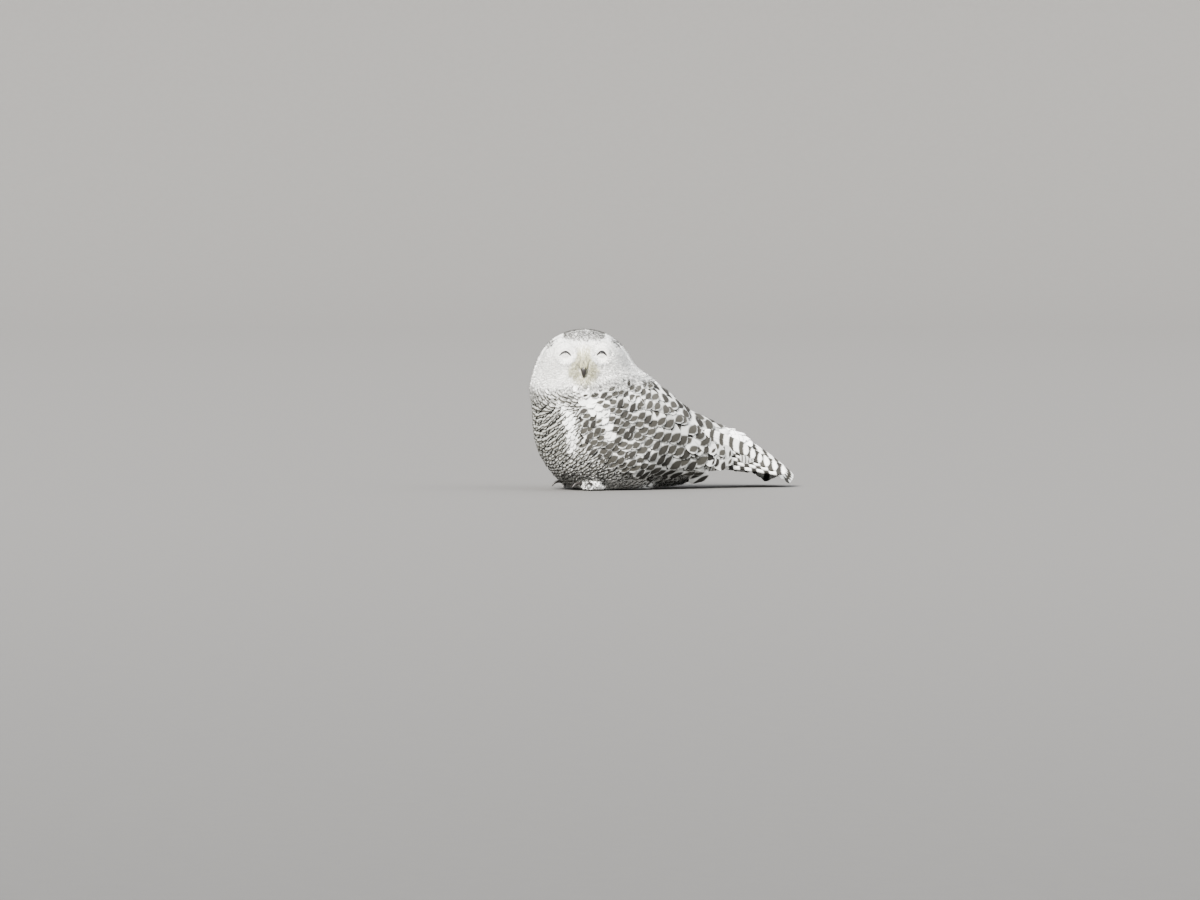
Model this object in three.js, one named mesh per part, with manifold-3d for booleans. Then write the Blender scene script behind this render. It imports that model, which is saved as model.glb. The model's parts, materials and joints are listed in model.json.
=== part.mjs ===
// A snowy owl at rest on the ground, life size, in millimetres.
//
// The owl faces -Y, its left side is +X and +Z is up. The head is turned to the owl's left.
// Head, neck, trunk and wings are cut from one soft form: a few named masses, blended by a
// smooth minimum of their distances. A piece is found by casting rays out from its own middle
// to that form, and thin gaps part it from its neighbours. The solids reach the feather tips.

import * as THREE from "three";
import { mergeVertices } from "three/addons/utils/BufferGeometryUtils.js";
import Module from "manifold-3d";

const wasm = await Module();
wasm.setup();

const { degToRad, lerp, smoothstep } = THREE.MathUtils;

// ---------------------------------------------------------------- driving dimensions, mm
const BODY_LENGTH = 476; // breast to tail tip
const GAP = 0.3; // between pieces that meet

const HEAD_TURN = degToRad(66); // to the owl's left, about the upright axis of the neck
const NECK_Y = 88; // how far that axis stands behind the front of the breast

const EYE_SPACING = 61; // centre to centre
const EYE_HEIGHT = 231;
const EYE_RADIUS = 15;
const EYE_FORWARD = 53; // from the neck's axis to the middle of an eye
const LID_OPENING = 22;

const WING_INLAY = 9; // how deep a folded wing lies in the plumage of the flank
const WING_TIP_Y = 440;
const PRIMARY_ROOT_Y = 262;
const PRIMARY_STEPS = 4;

const TAIL_ROOT_Y = 330;
const TAIL_FEATHERS = 12;

const FOOT_SPACING = 74; // centre to centre
const FOOT_Y = 118; // the ball of the foot
const SHANK_LENGTH = 66;
const SHANK_RADIUS = 17;
const TOE_RADIUS = 9;
const CLAW_LENGTH = 20;
const CLAW_RADIUS = 3.4;

// ---------------------------------------------------------------- the soft form
const UP = new THREE.Vector3(0, 0, 1);
const ALONG_X = new THREE.Vector3(1, 0, 0);

// A mass is an ellipsoid: its middle, its three half sizes, its pitch and its yaw in degrees.
// A pitch below nothing lowers the tail end, and a yaw turns that end towards +X.
const mass = (x, y, z, rx, ry, rz, pitch = 0, yaw = 0) => ({
  middle: new THREE.Vector3(x, y, z),
  sizes: new THREE.Vector3(rx, ry, rz),
  turn: new THREE.Quaternion().setFromEuler(new THREE.Euler(-degToRad(pitch), 0, degToRad(yaw))),
});

function bothSides(x, y, z, rx, ry, rz, pitch = 0, yaw = 0) {
  return [1, -1].map((side) => mass(side * x, y, z, rx, ry, rz, pitch, side * yaw));
}

// These face -Y, with the ground at z = 0 and the front of the breast near y = 0.
const bodyMasses = [
  mass(0, 92, 112, 88, 92, 104), // breast
  mass(0, 91, 166, 86, 91, 47), // base of the neck
  mass(0, 140, 58, 90, 106, 66), // belly
  mass(0, 177, 125, 84, 104, 69, -34), // mantle
  mass(0, 240, 98, 62, 96, 52, -34), // back
  mass(0, 214, 44, 60, 92, 40, -6), // fluff under the tail
  mass(0, 328, 87, 41, 62, 25, -32), // rump
];

// The head's masses stand round the neck's axis and face -Y before the head is turned.
const headMasses = [
  mass(0, 4, 204, 78, 70, 68), // skull
  mass(0, 4, 188, 80, 71, 42), // ruff
  ...bothSides(31, -40, 216, 32, 24, 32), // cheeks of the facial disc
  ...bothSides(25, -45, 243, 21, 13, 9), // brows
  mass(0, -62, 208, 16, 12, 16), // bristles round the bill
  mass(0, -46, 184, 34, 20, 18), // chin
];

// The folded wings bulge from the flanks.
const wingMasses = bothSides(55, 224, 86, 22, 160, 54, -24, -9);

const SOFTNESS = 9; // how far a blend between two masses reaches

const local = new THREE.Vector3();
const scaled = new THREE.Vector3();

// About how far a point lies outside a mass, and less than nothing inside it.
function distanceTo(m, point) {
  local.copy(point).sub(m.middle).applyQuaternion(m.turn);
  const k0 = scaled.copy(local).divide(m.sizes).length();
  const k1 = scaled.divide(m.sizes).length();
  return k1 < 1e-9 ? -Math.min(m.sizes.x, m.sizes.y, m.sizes.z) : (k0 * (k0 - 1)) / k1;
}

const toHead = (point) => point.clone().setY(point.y - NECK_Y).applyAxisAngle(UP, -HEAD_TURN);

function fromHead(point) {
  const turned = point.clone().applyAxisAngle(UP, HEAD_TURN);
  return turned.setY(turned.y + NECK_Y);
}

function form(point, masses) {
  const inHead = toHead(point);
  let sum = 0;
  for (const m of masses) sum += Math.exp(-distanceTo(m, point) / SOFTNESS);
  for (const m of headMasses) sum += Math.exp(-distanceTo(m, inHead) / SOFTNESS);
  return -SOFTNESS * Math.log(sum);
}

const flesh = (point) => form(point, bodyMasses);
const plumage = (point) => form(point, [...bodyMasses, ...wingMasses]);

// ---------------------------------------------------------------- making solids
const RAY_STEP = 5;
const RAY_HALVINGS = 14;

// How far a ray from inside runs until a field first rises past a level.
function reach(field, from, direction, level, limit) {
  const at = (r) => field(from.clone().addScaledVector(direction, r)) - level;
  let near = 0;
  let far = RAY_STEP;
  while (far < limit && at(far) < 0) {
    near = far;
    far += RAY_STEP;
  }
  if (far >= limit) return limit;
  for (let i = 0; i < RAY_HALVINGS; i++) {
    const middle = (near + far) / 2;
    if (at(middle) < 0) near = middle;
    else far = middle;
  }
  return (near + far) / 2;
}

const corner = (geometry, i) =>
  new THREE.Vector3().fromBufferAttribute(geometry.attributes.position, geometry.index.getX(i));

// Six times the volume inside a closed surface, and less than nothing if it is inside out.
function signedVolume(geometry) {
  let sum = 0;
  for (let i = 0; i < geometry.index.count; i += 3) {
    const [a, b, c] = [0, 1, 2].map((k) => corner(geometry, i + k));
    sum += a.dot(b.cross(c));
  }
  return sum;
}

function toManifold(geometry) {
  const bare = geometry.clone();
  bare.deleteAttribute("normal");
  bare.deleteAttribute("uv");
  const merged = mergeVertices(bare, 1e-4);
  const triangles = new Uint32Array(merged.index.array);
  if (signedVolume(merged) < 0) triangles.reverse();
  return new wasm.Manifold(
    new wasm.Mesh({
      numProp: 3,
      vertProperties: new Float32Array(merged.attributes.position.array),
      triVerts: triangles,
    }),
  );
}

function toGeometry(solid) {
  const mesh = solid.getMesh();
  const points = new Float32Array(mesh.numVert * 3);
  for (let i = 0; i < mesh.numVert; i++)
    for (let k = 0; k < 3; k++) points[3 * i + k] = mesh.vertProperties[mesh.numProp * i + k];
  const geometry = new THREE.BufferGeometry();
  geometry.setAttribute("position", new THREE.BufferAttribute(points, 3));
  geometry.setIndex(new THREE.BufferAttribute(new Uint32Array(mesh.triVerts), 1));
  geometry.computeVertexNormals();
  return geometry;
}

// Moves every vertex of a three.js geometry by a rule, and makes the result a solid.
function shaped(geometry, rule) {
  const place = geometry.attributes.position;
  const point = new THREE.Vector3();
  for (let i = 0; i < place.count; i++) {
    const to = rule(point.fromBufferAttribute(place, i));
    place.setXYZ(i, to.x, to.y, to.z);
  }
  return toManifold(geometry);
}

// A ball of small triangles, blown up until it meets a field's level.
const swell = (field, from, level, detail, limit = 600) =>
  shaped(new THREE.IcosahedronGeometry(1, detail), (p) => {
    const direction = p.clone().normalize();
    return from.clone().addScaledVector(direction, reach(field, from, direction, level, limit));
  });

// A plate, from a box whose sides u, v and w run from 0 to 1.
const plate = (uSteps, vSteps, rule) =>
  shaped(new THREE.BoxGeometry(1, 1, 1, uSteps, vSteps, 1), (p) =>
    rule(p.x + 0.5, p.y + 0.5, p.z + 0.5),
  );

// A horn: round, curved and narrowing to a point, or wider all over by grow for its seat.
function horn(curve, across, radius, grow, sides, steps) {
  return shaped(new THREE.ConeGeometry(1, 1, sides, steps), (p) => {
    const t = p.y + 0.5;
    const fromAxis = Math.hypot(p.x, p.z);
    const reachOut = fromAxis < 1e-6 ? 0 : (radius * Math.sqrt(1 - t) + grow) / fromAxis;
    const ahead = curve.getTangentAt(t);
    const out = new THREE.Vector3().crossVectors(across, ahead).normalize();
    return curve
      .getPointAt(t)
      .addScaledVector(ahead, t > 0.5 ? grow : -grow)
      .addScaledVector(across, p.x * reachOut)
      .addScaledVector(out, p.z * reachOut);
  });
}

// A rod with round ends between two points.
function rod(from, to, radius, sides = 6) {
  const along = to.clone().sub(from);
  const geometry = new THREE.CapsuleGeometry(radius, along.length(), 2, sides);
  const upright = new THREE.Vector3(0, 1, 0);
  geometry.applyQuaternion(new THREE.Quaternion().setFromUnitVectors(upright, along.normalize()));
  const middle = from.clone().lerp(to, 0.5);
  return toManifold(geometry.translate(middle.x, middle.y, middle.z));
}

const join = (solids) => solids.reduce((whole, solid) => whole.add(solid));

// ---------------------------------------------------------------- planes that part the pieces
const BLOCK = 900;

// A block that fills everything on one side of a plane through a point.
function halfSpace(point, normal) {
  const block = new THREE.BoxGeometry(BLOCK, BLOCK, BLOCK).translate(0, 0, BLOCK / 2);
  block.applyQuaternion(new THREE.Quaternion().setFromUnitVectors(UP, normal));
  return toManifold(block.translate(point.x, point.y, point.z));
}

// A cut across the neck that rises towards the back: the solid above it or below it.
function neckCut(height, rise) {
  const normal = new THREE.Vector3(0, -rise, 1).normalize();
  const point = new THREE.Vector3(0, NECK_Y, height);
  const side = (sign) => {
    const outward = normal.clone().multiplyScalar(sign);
    return halfSpace(point.clone().addScaledVector(outward, GAP / 2), outward);
  };
  return { above: side(1), below: side(-1) };
}

const aboveGround = halfSpace(new THREE.Vector3(), UP);
const headCut = neckCut(180, 0.14);
const trunkCut = neckCut(158, 0.27);

// ---------------------------------------------------------------- eyes
const EYE_DETAIL = 2;

const eyePlace = (side, ahead = 0) =>
  fromHead(new THREE.Vector3((side * EYE_SPACING) / 2, -EYE_FORWARD - ahead, EYE_HEIGHT));

function eyeball(side, grow) {
  const { x, y, z } = eyePlace(side);
  return toManifold(new THREE.IcosahedronGeometry(EYE_RADIUS + grow, EYE_DETAIL).translate(x, y, z));
}

// The socket holds the ball and opens forward between the lids.
const socket = (side) =>
  eyeball(side, GAP).add(rod(eyePlace(side), eyePlace(side, 2 * EYE_RADIUS), LID_OPENING / 2, 16));

// ---------------------------------------------------------------- bill
// The halves are hooked horns. Their points are a distance ahead of the neck and a height.
const UPPER_BILL = [[58, 213], [75, 213], [85, 205], [83, 188]];
const LOWER_BILL = [[58, 202], [70, 201], [79, 195]];
const UPPER_BILL_RADIUS = 9; // at the root
const LOWER_BILL_RADIUS = 6;
const ACROSS_HEAD = ALONG_X.clone().applyAxisAngle(UP, HEAD_TURN);

function billHalf(points, radius, grow) {
  const places = points.map(([ahead, height]) => fromHead(new THREE.Vector3(0, -ahead, height)));
  return horn(new THREE.CatmullRomCurve3(places), ACROSS_HEAD, radius, grow, 10, 6);
}

const upperBill = (grow) => billHalf(UPPER_BILL, UPPER_BILL_RADIUS, grow);
const lowerBill = (grow) => billHalf(LOWER_BILL, LOWER_BILL_RADIUS, grow);

// ---------------------------------------------------------------- legs, toes and claws
// The shanks lie on the ground under the belly. The toes run from the inner front one outwards,
// and the last is the hind toe.
const TOES = [
  { degrees: -20, length: 40 },
  { degrees: 4, length: 46 },
  { degrees: 28, length: 42 },
  { degrees: -140, length: 22 },
];
const TOE_HEIGHT = TOE_RADIUS - 1; // this leaves a flat on the ground
const SHANK_HEIGHT = SHANK_RADIUS - 2;

// A claw's arc: shares of its length ahead of the toe's end, and heights.
const CLAW_ARC = [[0, 9], [0.45, 12.5], [0.95, 11], [1.3, 2]];

const footMiddle = (side, height) => new THREE.Vector3((side * FOOT_SPACING) / 2, FOOT_Y, height);

function toeDirection(side, toe) {
  const angle = degToRad(toe.degrees);
  return new THREE.Vector3(side * Math.sin(angle), -Math.cos(angle), 0);
}

const toeTip = (side, toe) =>
  footMiddle(side, TOE_HEIGHT).addScaledVector(toeDirection(side, toe), toe.length);

function claw(side, toe, grow) {
  const ahead = toeDirection(side, toe);
  const places = CLAW_ARC.map(([share, height]) =>
    toeTip(side, toe).addScaledVector(ahead, CLAW_LENGTH * share).setZ(height),
  );
  const curve = new THREE.CatmullRomCurve3(places);
  const across = new THREE.Vector3().crossVectors(ahead, UP);
  return horn(curve, across, CLAW_RADIUS, grow, 6, 5);
}

const claws = (side, grow) => join(TOES.map((toe) => claw(side, toe, grow)));

function leg(side, grow) {
  const hock = footMiddle(side, SHANK_HEIGHT);
  hock.y += SHANK_LENGTH;
  const shank = rod(footMiddle(side, SHANK_HEIGHT), hock, SHANK_RADIUS + grow, 10);
  const foot = footMiddle(side, TOE_HEIGHT);
  const toes = TOES.map((toe) => rod(foot, toeTip(side, toe), TOE_RADIUS + grow));
  return join([shank, ...toes]).intersect(aboveGround);
}

// ---------------------------------------------------------------- tail
const TAIL_ROOT_TOP = 119;
const TAIL_FALL = 0.615; // how far the tail drops for each mm of its length
const TAIL_ROOT_DIP = 18; // the quills start under the surface of the rump
const TAIL_DIP_LENGTH = 44;
const TAIL_HALF_WIDTH = { root: 24, tip: 41 };
const TAIL_THICKNESS = { root: 10, tip: 4 };
const TAIL_ARCH = { root: 14, tip: 26 }; // how far its sides hang below its middle
const TAIL_ROUNDING = 16; // how much shorter its outer feathers are
const TAIL_NOTCH = 4; // between two feather tips

function tail(grow) {
  return plate(4, 2 * TAIL_FEATHERS, (u, v, w) => {
    const halfWidth = lerp(TAIL_HALF_WIDTH.root, TAIL_HALF_WIDTH.tip, u);
    const x = (halfWidth + grow) * (2 * v - 1);
    const fromMiddle = (x / halfWidth) ** 2;
    const notch = TAIL_NOTCH * Math.abs(Math.cos(TAIL_FEATHERS * Math.PI * v));
    const end = BODY_LENGTH - TAIL_ROUNDING * fromMiddle - notch;
    const y = lerp(TAIL_ROOT_Y - grow, end + grow, u);
    const dip = TAIL_ROOT_DIP * (1 - smoothstep(y, TAIL_ROOT_Y, TAIL_ROOT_Y + TAIL_DIP_LENGTH));
    const arch = lerp(TAIL_ARCH.root, TAIL_ARCH.tip, u) * fromMiddle;
    const top = TAIL_ROOT_TOP - TAIL_FALL * (y - TAIL_ROOT_Y) - dip - arch + 2 * grow;
    const thickness = lerp(TAIL_THICKNESS.root, TAIL_THICKNESS.tip, u) + 4 * grow;
    return new THREE.Vector3(x, y, top - thickness * (1 - w));
  });
}

// ---------------------------------------------------------------- wings
// The outline of a folded wing from the side, as y and z, without its longest quills.
const WING_OUTLINE = [
  [30, 118], [70, 148], [150, 157], [250, 121], [340, 72],
  [374, 44], [330, 27], [200, 30], [100, 52], [44, 86],
];
const OUTLINE_STEPS = 32;
const FLANK_START = 12; // from the midline
const FLANK_DEPTH = 130;

// Everything on one side of the body that lies inside the wing's outline.
function flank(side, grow) {
  const places = WING_OUTLINE.map(([y, z]) => new THREE.Vector3(y, z, 0));
  const curve = new THREE.CatmullRomCurve3(places, true);
  const outline = Array.from({ length: OUTLINE_STEPS }, (_, i) => {
    const place = curve.getPoint(i / OUTLINE_STEPS);
    const along = curve.getTangent(i / OUTLINE_STEPS);
    return new THREE.Vector2(place.x - along.y * grow, place.y + along.x * grow);
  });
  const prism = new THREE.ExtrudeGeometry(new THREE.Shape(outline), {
    depth: FLANK_DEPTH,
    bevelEnabled: false,
  });
  prism.translate(0, 0, FLANK_START - grow);
  return shaped(prism, (p) => new THREE.Vector3(side * p.z, p.x, p.y));
}

// The longest quills reach back beside the tail, and their tips make steps.
const PRIMARY_OUT = { root: 60, tip: 48 }; // from the midline
const PRIMARY_THICKNESS = { root: 10, tip: 4 };
const PRIMARY_LOW = { root: 40, tip: 22 }; // heights of the fan's lower and upper edges
const PRIMARY_HIGH = { root: 104, tip: 58 };
const PRIMARY_HUG = 6; // how far the fan's edges curl in towards the body
const PRIMARY_SLOPE = 64; // how far the upper tips end before the lowest one
const PRIMARY_NOTCH = 7; // between two tips

function primaries(side) {
  const between = (ends, u) => lerp(ends.root, ends.tip, u);
  return plate(4, 2 * PRIMARY_STEPS, (u, v, w) => {
    const notch = PRIMARY_NOTCH * Math.abs(Math.sin(PRIMARY_STEPS * Math.PI * v));
    const tip = WING_TIP_Y - PRIMARY_SLOPE * v - notch;
    const hug = PRIMARY_HUG * (2 * v - 1) ** 2;
    const x = between(PRIMARY_OUT, u) - hug + (w - 0.5) * between(PRIMARY_THICKNESS, u);
    const z = lerp(between(PRIMARY_LOW, u), between(PRIMARY_HIGH, u), v);
    return new THREE.Vector3(side * x, lerp(PRIMARY_ROOT_Y, tip, u), z);
  });
}

// ---------------------------------------------------------------- cutting the pieces
const TRUNK_MIDDLE = new THREE.Vector3(0, 150, 96);
const NECK_MIDDLE = new THREE.Vector3(0, 96, 168);
const HEAD_MIDDLE = fromHead(new THREE.Vector3(0, 0, 205));
const wingMiddle = (side) => new THREE.Vector3(side * 30, 190, 92);

// The body without the depth that a wing lies in, and the bed that is cut for the wing.
const core = (clearance) => swell(flesh, TRUNK_MIDDLE, -WING_INLAY - clearance, 4);
const wingBed = (side) => flank(side, GAP).subtract(core(GAP));

function wing(side) {
  const clearOfBody = swell(flesh, TRUNK_MIDDLE, GAP, 7);
  const coverts = swell(plumage, wingMiddle(side), 0, 6, 300).intersect(flank(side, 0));
  const quills = primaries(side).subtract(clearOfBody);
  const whole = coverts.subtract(core(0)).add(quills).subtract(tail(GAP));
  return whole.intersect(aboveGround).intersect(trunkCut.below);
}

function trunk() {
  const whole = swell(flesh, TRUNK_MIDDLE, 0, 7).intersect(aboveGround).intersect(trunkCut.below);
  const beds = [1, -1].flatMap((side) => [wingBed(side), leg(side, GAP), claws(side, GAP)]);
  return whole.subtract(join([...beds, tail(GAP)]));
}

function head() {
  const whole = swell(flesh, HEAD_MIDDLE, 0, 7, 130).intersect(headCut.above);
  return whole.subtract(join([socket(1), socket(-1), upperBill(GAP), lowerBill(GAP)]));
}

const neck = () =>
  swell(flesh, NECK_MIDDLE, 0, 5, 160).intersect(headCut.below).intersect(trunkCut.above);

// ---------------------------------------------------------------- the model
const PALE = { color: 0xe9e9e4, roughness: 0.95, metalness: 0 };
const BARRED = { color: 0xc4c3bc, roughness: 0.9, metalness: 0 };
const HORN = { color: 0x1b1a1a, roughness: 0.35, metalness: 0 };
const IRIS = { color: 0xd9a514, roughness: 0.08, metalness: 0 };

const body = new THREE.Group();

function add(name, solid, finish) {
  const mesh = new THREE.Mesh(toGeometry(solid), new THREE.MeshStandardMaterial(finish));
  mesh.name = name;
  body.add(mesh);
}

add("head", head(), PALE);
add("neck", neck(), PALE);
add("trunk", trunk(), PALE);
add("tail", tail(0), BARRED);
add("bill_upper", upperBill(0), HORN);
add("bill_lower", lowerBill(0).subtract(upperBill(GAP)), HORN);

for (const [word, side] of [["left", 1], ["right", -1]]) {
  add(`wing_${word}`, wing(side), BARRED);
  add(`eye_${word}`, eyeball(side, 0), IRIS);
  add(`leg_${word}`, leg(side, 0).subtract(claws(side, GAP)), PALE);
  TOES.forEach((toe, i) => add(`claw_${word}_${i + 1}`, claw(side, toe, 0), HORN));
}

// The origin stands on the ground under the middle of the whole model.
const box = new THREE.Box3().setFromObject(body);
const middle = box.getCenter(new THREE.Vector3());
body.position.set(-middle.x, -middle.y, -box.min.z);

const owl = new THREE.Group();
owl.add(body);
export default owl;
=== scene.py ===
# %% [markdown]
# # A snowy owl in Blender
#
# A barred snowy owl rests on the ground with its head turned to its left and its eyes almost
# closed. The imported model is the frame: plain solids of the head, neck, trunk, wings, tail,
# legs, bill, claws and eyes at life size. This lesson dresses that frame. A skin goes inside
# the solids, lids and eyes go into the head, and thousands of small solid feathers go on the
# skin, until the coat fills the space that the solids hold.

import json
import math

import bmesh
import bpy
import numpy as np
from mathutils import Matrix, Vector
from mathutils.bvhtree import BVHTree

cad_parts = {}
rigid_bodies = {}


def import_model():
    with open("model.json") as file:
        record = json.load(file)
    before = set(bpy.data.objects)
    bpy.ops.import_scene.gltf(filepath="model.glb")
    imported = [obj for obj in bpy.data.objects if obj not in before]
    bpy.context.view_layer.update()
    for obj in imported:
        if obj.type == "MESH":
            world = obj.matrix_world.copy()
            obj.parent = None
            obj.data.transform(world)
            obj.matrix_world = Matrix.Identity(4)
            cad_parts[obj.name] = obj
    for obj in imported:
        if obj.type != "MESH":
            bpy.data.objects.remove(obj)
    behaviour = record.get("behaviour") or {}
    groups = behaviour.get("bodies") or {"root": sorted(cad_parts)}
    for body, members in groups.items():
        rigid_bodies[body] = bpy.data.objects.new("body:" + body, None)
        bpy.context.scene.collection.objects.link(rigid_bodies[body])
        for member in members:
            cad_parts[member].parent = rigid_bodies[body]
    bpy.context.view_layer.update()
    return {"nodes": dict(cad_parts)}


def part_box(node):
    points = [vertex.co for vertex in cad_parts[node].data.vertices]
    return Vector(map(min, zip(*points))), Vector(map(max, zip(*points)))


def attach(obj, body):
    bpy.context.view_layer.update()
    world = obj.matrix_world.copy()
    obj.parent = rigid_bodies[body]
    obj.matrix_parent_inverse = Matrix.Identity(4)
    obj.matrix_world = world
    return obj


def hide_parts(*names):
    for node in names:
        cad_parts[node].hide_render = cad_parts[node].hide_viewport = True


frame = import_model()
print("solids:", sorted(frame["nodes"]))

# %% [markdown]
# ## Directions on the bird
#
# Every place below is worked out from the solids. The two eyes say which way the head looks,
# and the upright axis of the neck stands behind them. Lengths along the body are counted in
# millimetres back from the front of the breast, because that is how a taxidermist measures.

# %% Directions and distances
MM = 0.001
EYE_AHEAD = 53  # from the axis of the neck to the middle of an eye, mm
NECK_BACK = 88  # from the front of the breast back to that axis, mm
UP = np.array([0.0, 0.0, 1.0])


def middle(node):
    low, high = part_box(node)
    return np.array((low + high) / 2)


def unit(vectors):
    length = np.linalg.norm(vectors, axis=-1, keepdims=True)
    return vectors / np.maximum(length, 1e-12)


def smooth(low, high, value):
    """0 below low, 1 above high, and a soft step between them."""
    t = np.clip((value - low) / (high - low), 0, 1)
    return t * t * (3 - 2 * t)


EYES = {"left": middle("eye_left"), "right": middle("eye_right")}
SIGN = {"left": 1, "right": -1}  # of a distance to the bird's left
HEAD_LEFT = unit(EYES["left"] - EYES["right"])
HEAD_AHEAD = np.cross(HEAD_LEFT, UP)
NECK_AXIS = (EYES["left"] + EYES["right"]) / 2 - HEAD_AHEAD * EYE_AHEAD * MM


def on_head(points):
    """To the head's left, ahead of the neck's axis, and above the ground, in mm."""
    out = points - NECK_AXIS
    return np.stack([out @ HEAD_LEFT, out @ HEAD_AHEAD, points[..., 2]], -1) / MM


def from_head(left, ahead, height):
    place = NECK_AXIS * [1, 1, 0] + (left * HEAD_LEFT + ahead * HEAD_AHEAD) * MM
    return place + UP * height * MM


def on_body(points):
    """Out from the midline, back from the front of the breast, and above the ground, in mm."""
    back = (points[..., 1] - NECK_AXIS[1]) / MM + NECK_BACK
    return np.abs(points[..., 0]) / MM, back, points[..., 2] / MM


EYE_PLACES = {side: on_head(place) for side, place in EYES.items()}
turned = math.degrees(math.atan2(HEAD_AHEAD[0], -HEAD_AHEAD[1]))
print(f"the head is turned {turned:.0f} degrees to the owl's left")

# %% [markdown]
# ## Camera, floor and light
#
# A long lens from far away, almost level with the bird, flattens it as a telescope does. The
# floor is one wide grey sheet that curves up into a wall far away, so no edge shows. A soft
# key sun stands high on the head's side, so that the crown and the breast are bright. A wider
# and weaker sun lights the wing and the tail, and light from all round fills the rest.

# %% Camera
CAMERA_TURN = math.radians(66)
CAMERA_RISE = math.radians(2)
CAMERA_DISTANCE = 12.0
VIEW_WIDTH = 2.04  # metres seen at the bird
AIM_ALONG = -0.1079  # metres from the origin to the middle of the view, to the camera's right
AIM_UP = 0.0646  # and up
SENSOR = 36.0  # mm

camera_right = np.array([math.cos(CAMERA_TURN), math.sin(CAMERA_TURN), 0])
camera_side = np.array([math.sin(CAMERA_TURN), -math.cos(CAMERA_TURN), 0])
towards_camera = camera_side * math.cos(CAMERA_RISE) + UP * math.sin(CAMERA_RISE)
aim = camera_right * AIM_ALONG + UP * AIM_UP

lens = bpy.data.cameras.new("long lens")
lens.sensor_width = SENSOR
lens.lens = lens.sensor_width * CAMERA_DISTANCE / VIEW_WIDTH
lens.clip_end = 200
camera = bpy.data.objects.new("camera", lens)
camera.location = Vector(aim + towards_camera * CAMERA_DISTANCE)
camera.rotation_euler = Vector(-towards_camera).to_track_quat("-Z", "Y").to_euler()
bpy.context.scene.collection.objects.link(camera)
bpy.context.scene.camera = camera
print(f"lens {lens.lens:.0f} mm")


# %% Floor
def mesh_object(name, vertices, faces):
    mesh = bpy.data.meshes.new(name)
    mesh.from_pydata([tuple(v) for v in vertices], [], faces)
    mesh.update()
    made = bpy.data.objects.new(name, mesh)
    bpy.context.scene.collection.objects.link(made)
    return made


def point_faces_outwards(mesh):
    """Turns the faces of a closed mesh outwards."""
    shape = bmesh.new()
    shape.from_mesh(mesh)
    bmesh.ops.recalc_face_normals(shape, faces=shape.faces)
    shape.to_mesh(mesh)
    shape.free()


def new_material(name):
    """A node material, its tree and its Principled shader."""
    material = bpy.data.materials.new(name)
    material.use_nodes = True
    return material, material.node_tree, material.node_tree.nodes["Principled BSDF"]


def add_node(tree, kind, **settings):
    node = tree.nodes.new(kind)
    for key, value in settings.items():
        setattr(node, key, value)
    return node


def noise(tree, coordinates, scale, detail=3.0, roughness=0.5):
    node = add_node(tree, "ShaderNodeTexNoise")
    node.inputs["Scale"].default_value = scale
    node.inputs["Detail"].default_value = detail
    node.inputs["Roughness"].default_value = roughness
    tree.links.new(coordinates, node.inputs["Vector"])
    return node.outputs["Fac"]


def mixed(tree, factor, first, second):
    """A colour mix. Each of first, second and factor is a socket or a value."""
    node = add_node(tree, "ShaderNodeMix", data_type="RGBA")
    colour_sockets = (node.inputs[0], node.inputs[6], node.inputs[7])
    for socket, given in zip(colour_sockets, (factor, first, second)):
        if isinstance(given, bpy.types.NodeSocket):
            tree.links.new(given, socket)
        elif isinstance(given, (int, float)):
            socket.default_value = given
        else:
            socket.default_value = (*given, 1)
    return node.outputs[2]


def object_coordinates(tree):
    return add_node(tree, "ShaderNodeTexCoord").outputs["Object"]


def add_relief(tree, shader, height, strength, depth):
    """Fine relief as bump, from a socket that says how high each point is. depth is in metres."""
    relief = add_node(tree, "ShaderNodeBump")
    relief.inputs["Strength"].default_value = strength
    relief.inputs["Distance"].default_value = depth
    tree.links.new(height, relief.inputs["Height"])
    tree.links.new(relief.outputs["Normal"], shader.inputs["Normal"])


FLOOR_RADIUS = 15.0
SWEEP_RADIUS = 5.0  # where the floor curves up into the wall
WALL_TOP = 11.0
SWEEP_SIDES = 96
SWEEP_STEPS = 13
FLOOR_RINGS = ((2.0, 0.0), (8.0, 0.0))  # radius and height, metres
FLOOR_DROP = 0.0004  # how far the sheet lies below the bird, metres
FLOOR_GREY = (0.063, 0.061, 0.058)
FLOOR_SPECKLE = (0.070, 0.068, 0.065)


def sweep_profile():
    """The floor, the curve and the wall, as (radius, height)."""
    curve = [(FLOOR_RADIUS + SWEEP_RADIUS * math.sin(a), SWEEP_RADIUS * (1 - math.cos(a)))
             for a in np.linspace(0, math.pi / 2, SWEEP_STEPS)]
    return [*FLOOR_RINGS, *curve, (FLOOR_RADIUS + SWEEP_RADIUS, WALL_TOP)]


def studio_sweep(profile):
    vertices, faces = [(0, 0, 0)], []
    for radius, height in profile:
        for k in range(SWEEP_SIDES):
            angle = 2 * math.pi * k / SWEEP_SIDES
            vertices.append((radius * math.cos(angle), radius * math.sin(angle), height))
    for k in range(SWEEP_SIDES):
        after = (k + 1) % SWEEP_SIDES
        faces.append((0, 1 + k, 1 + after))
        for i in range(len(profile) - 1):
            a, b = 1 + i * SWEEP_SIDES, 1 + (i + 1) * SWEEP_SIDES
            faces.append((a + k, b + k, b + after, a + after))
    made = mesh_object("studio_sweep", np.array(vertices) - [0, 0, FLOOR_DROP], faces)
    made.data.shade_smooth()
    return made


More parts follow.
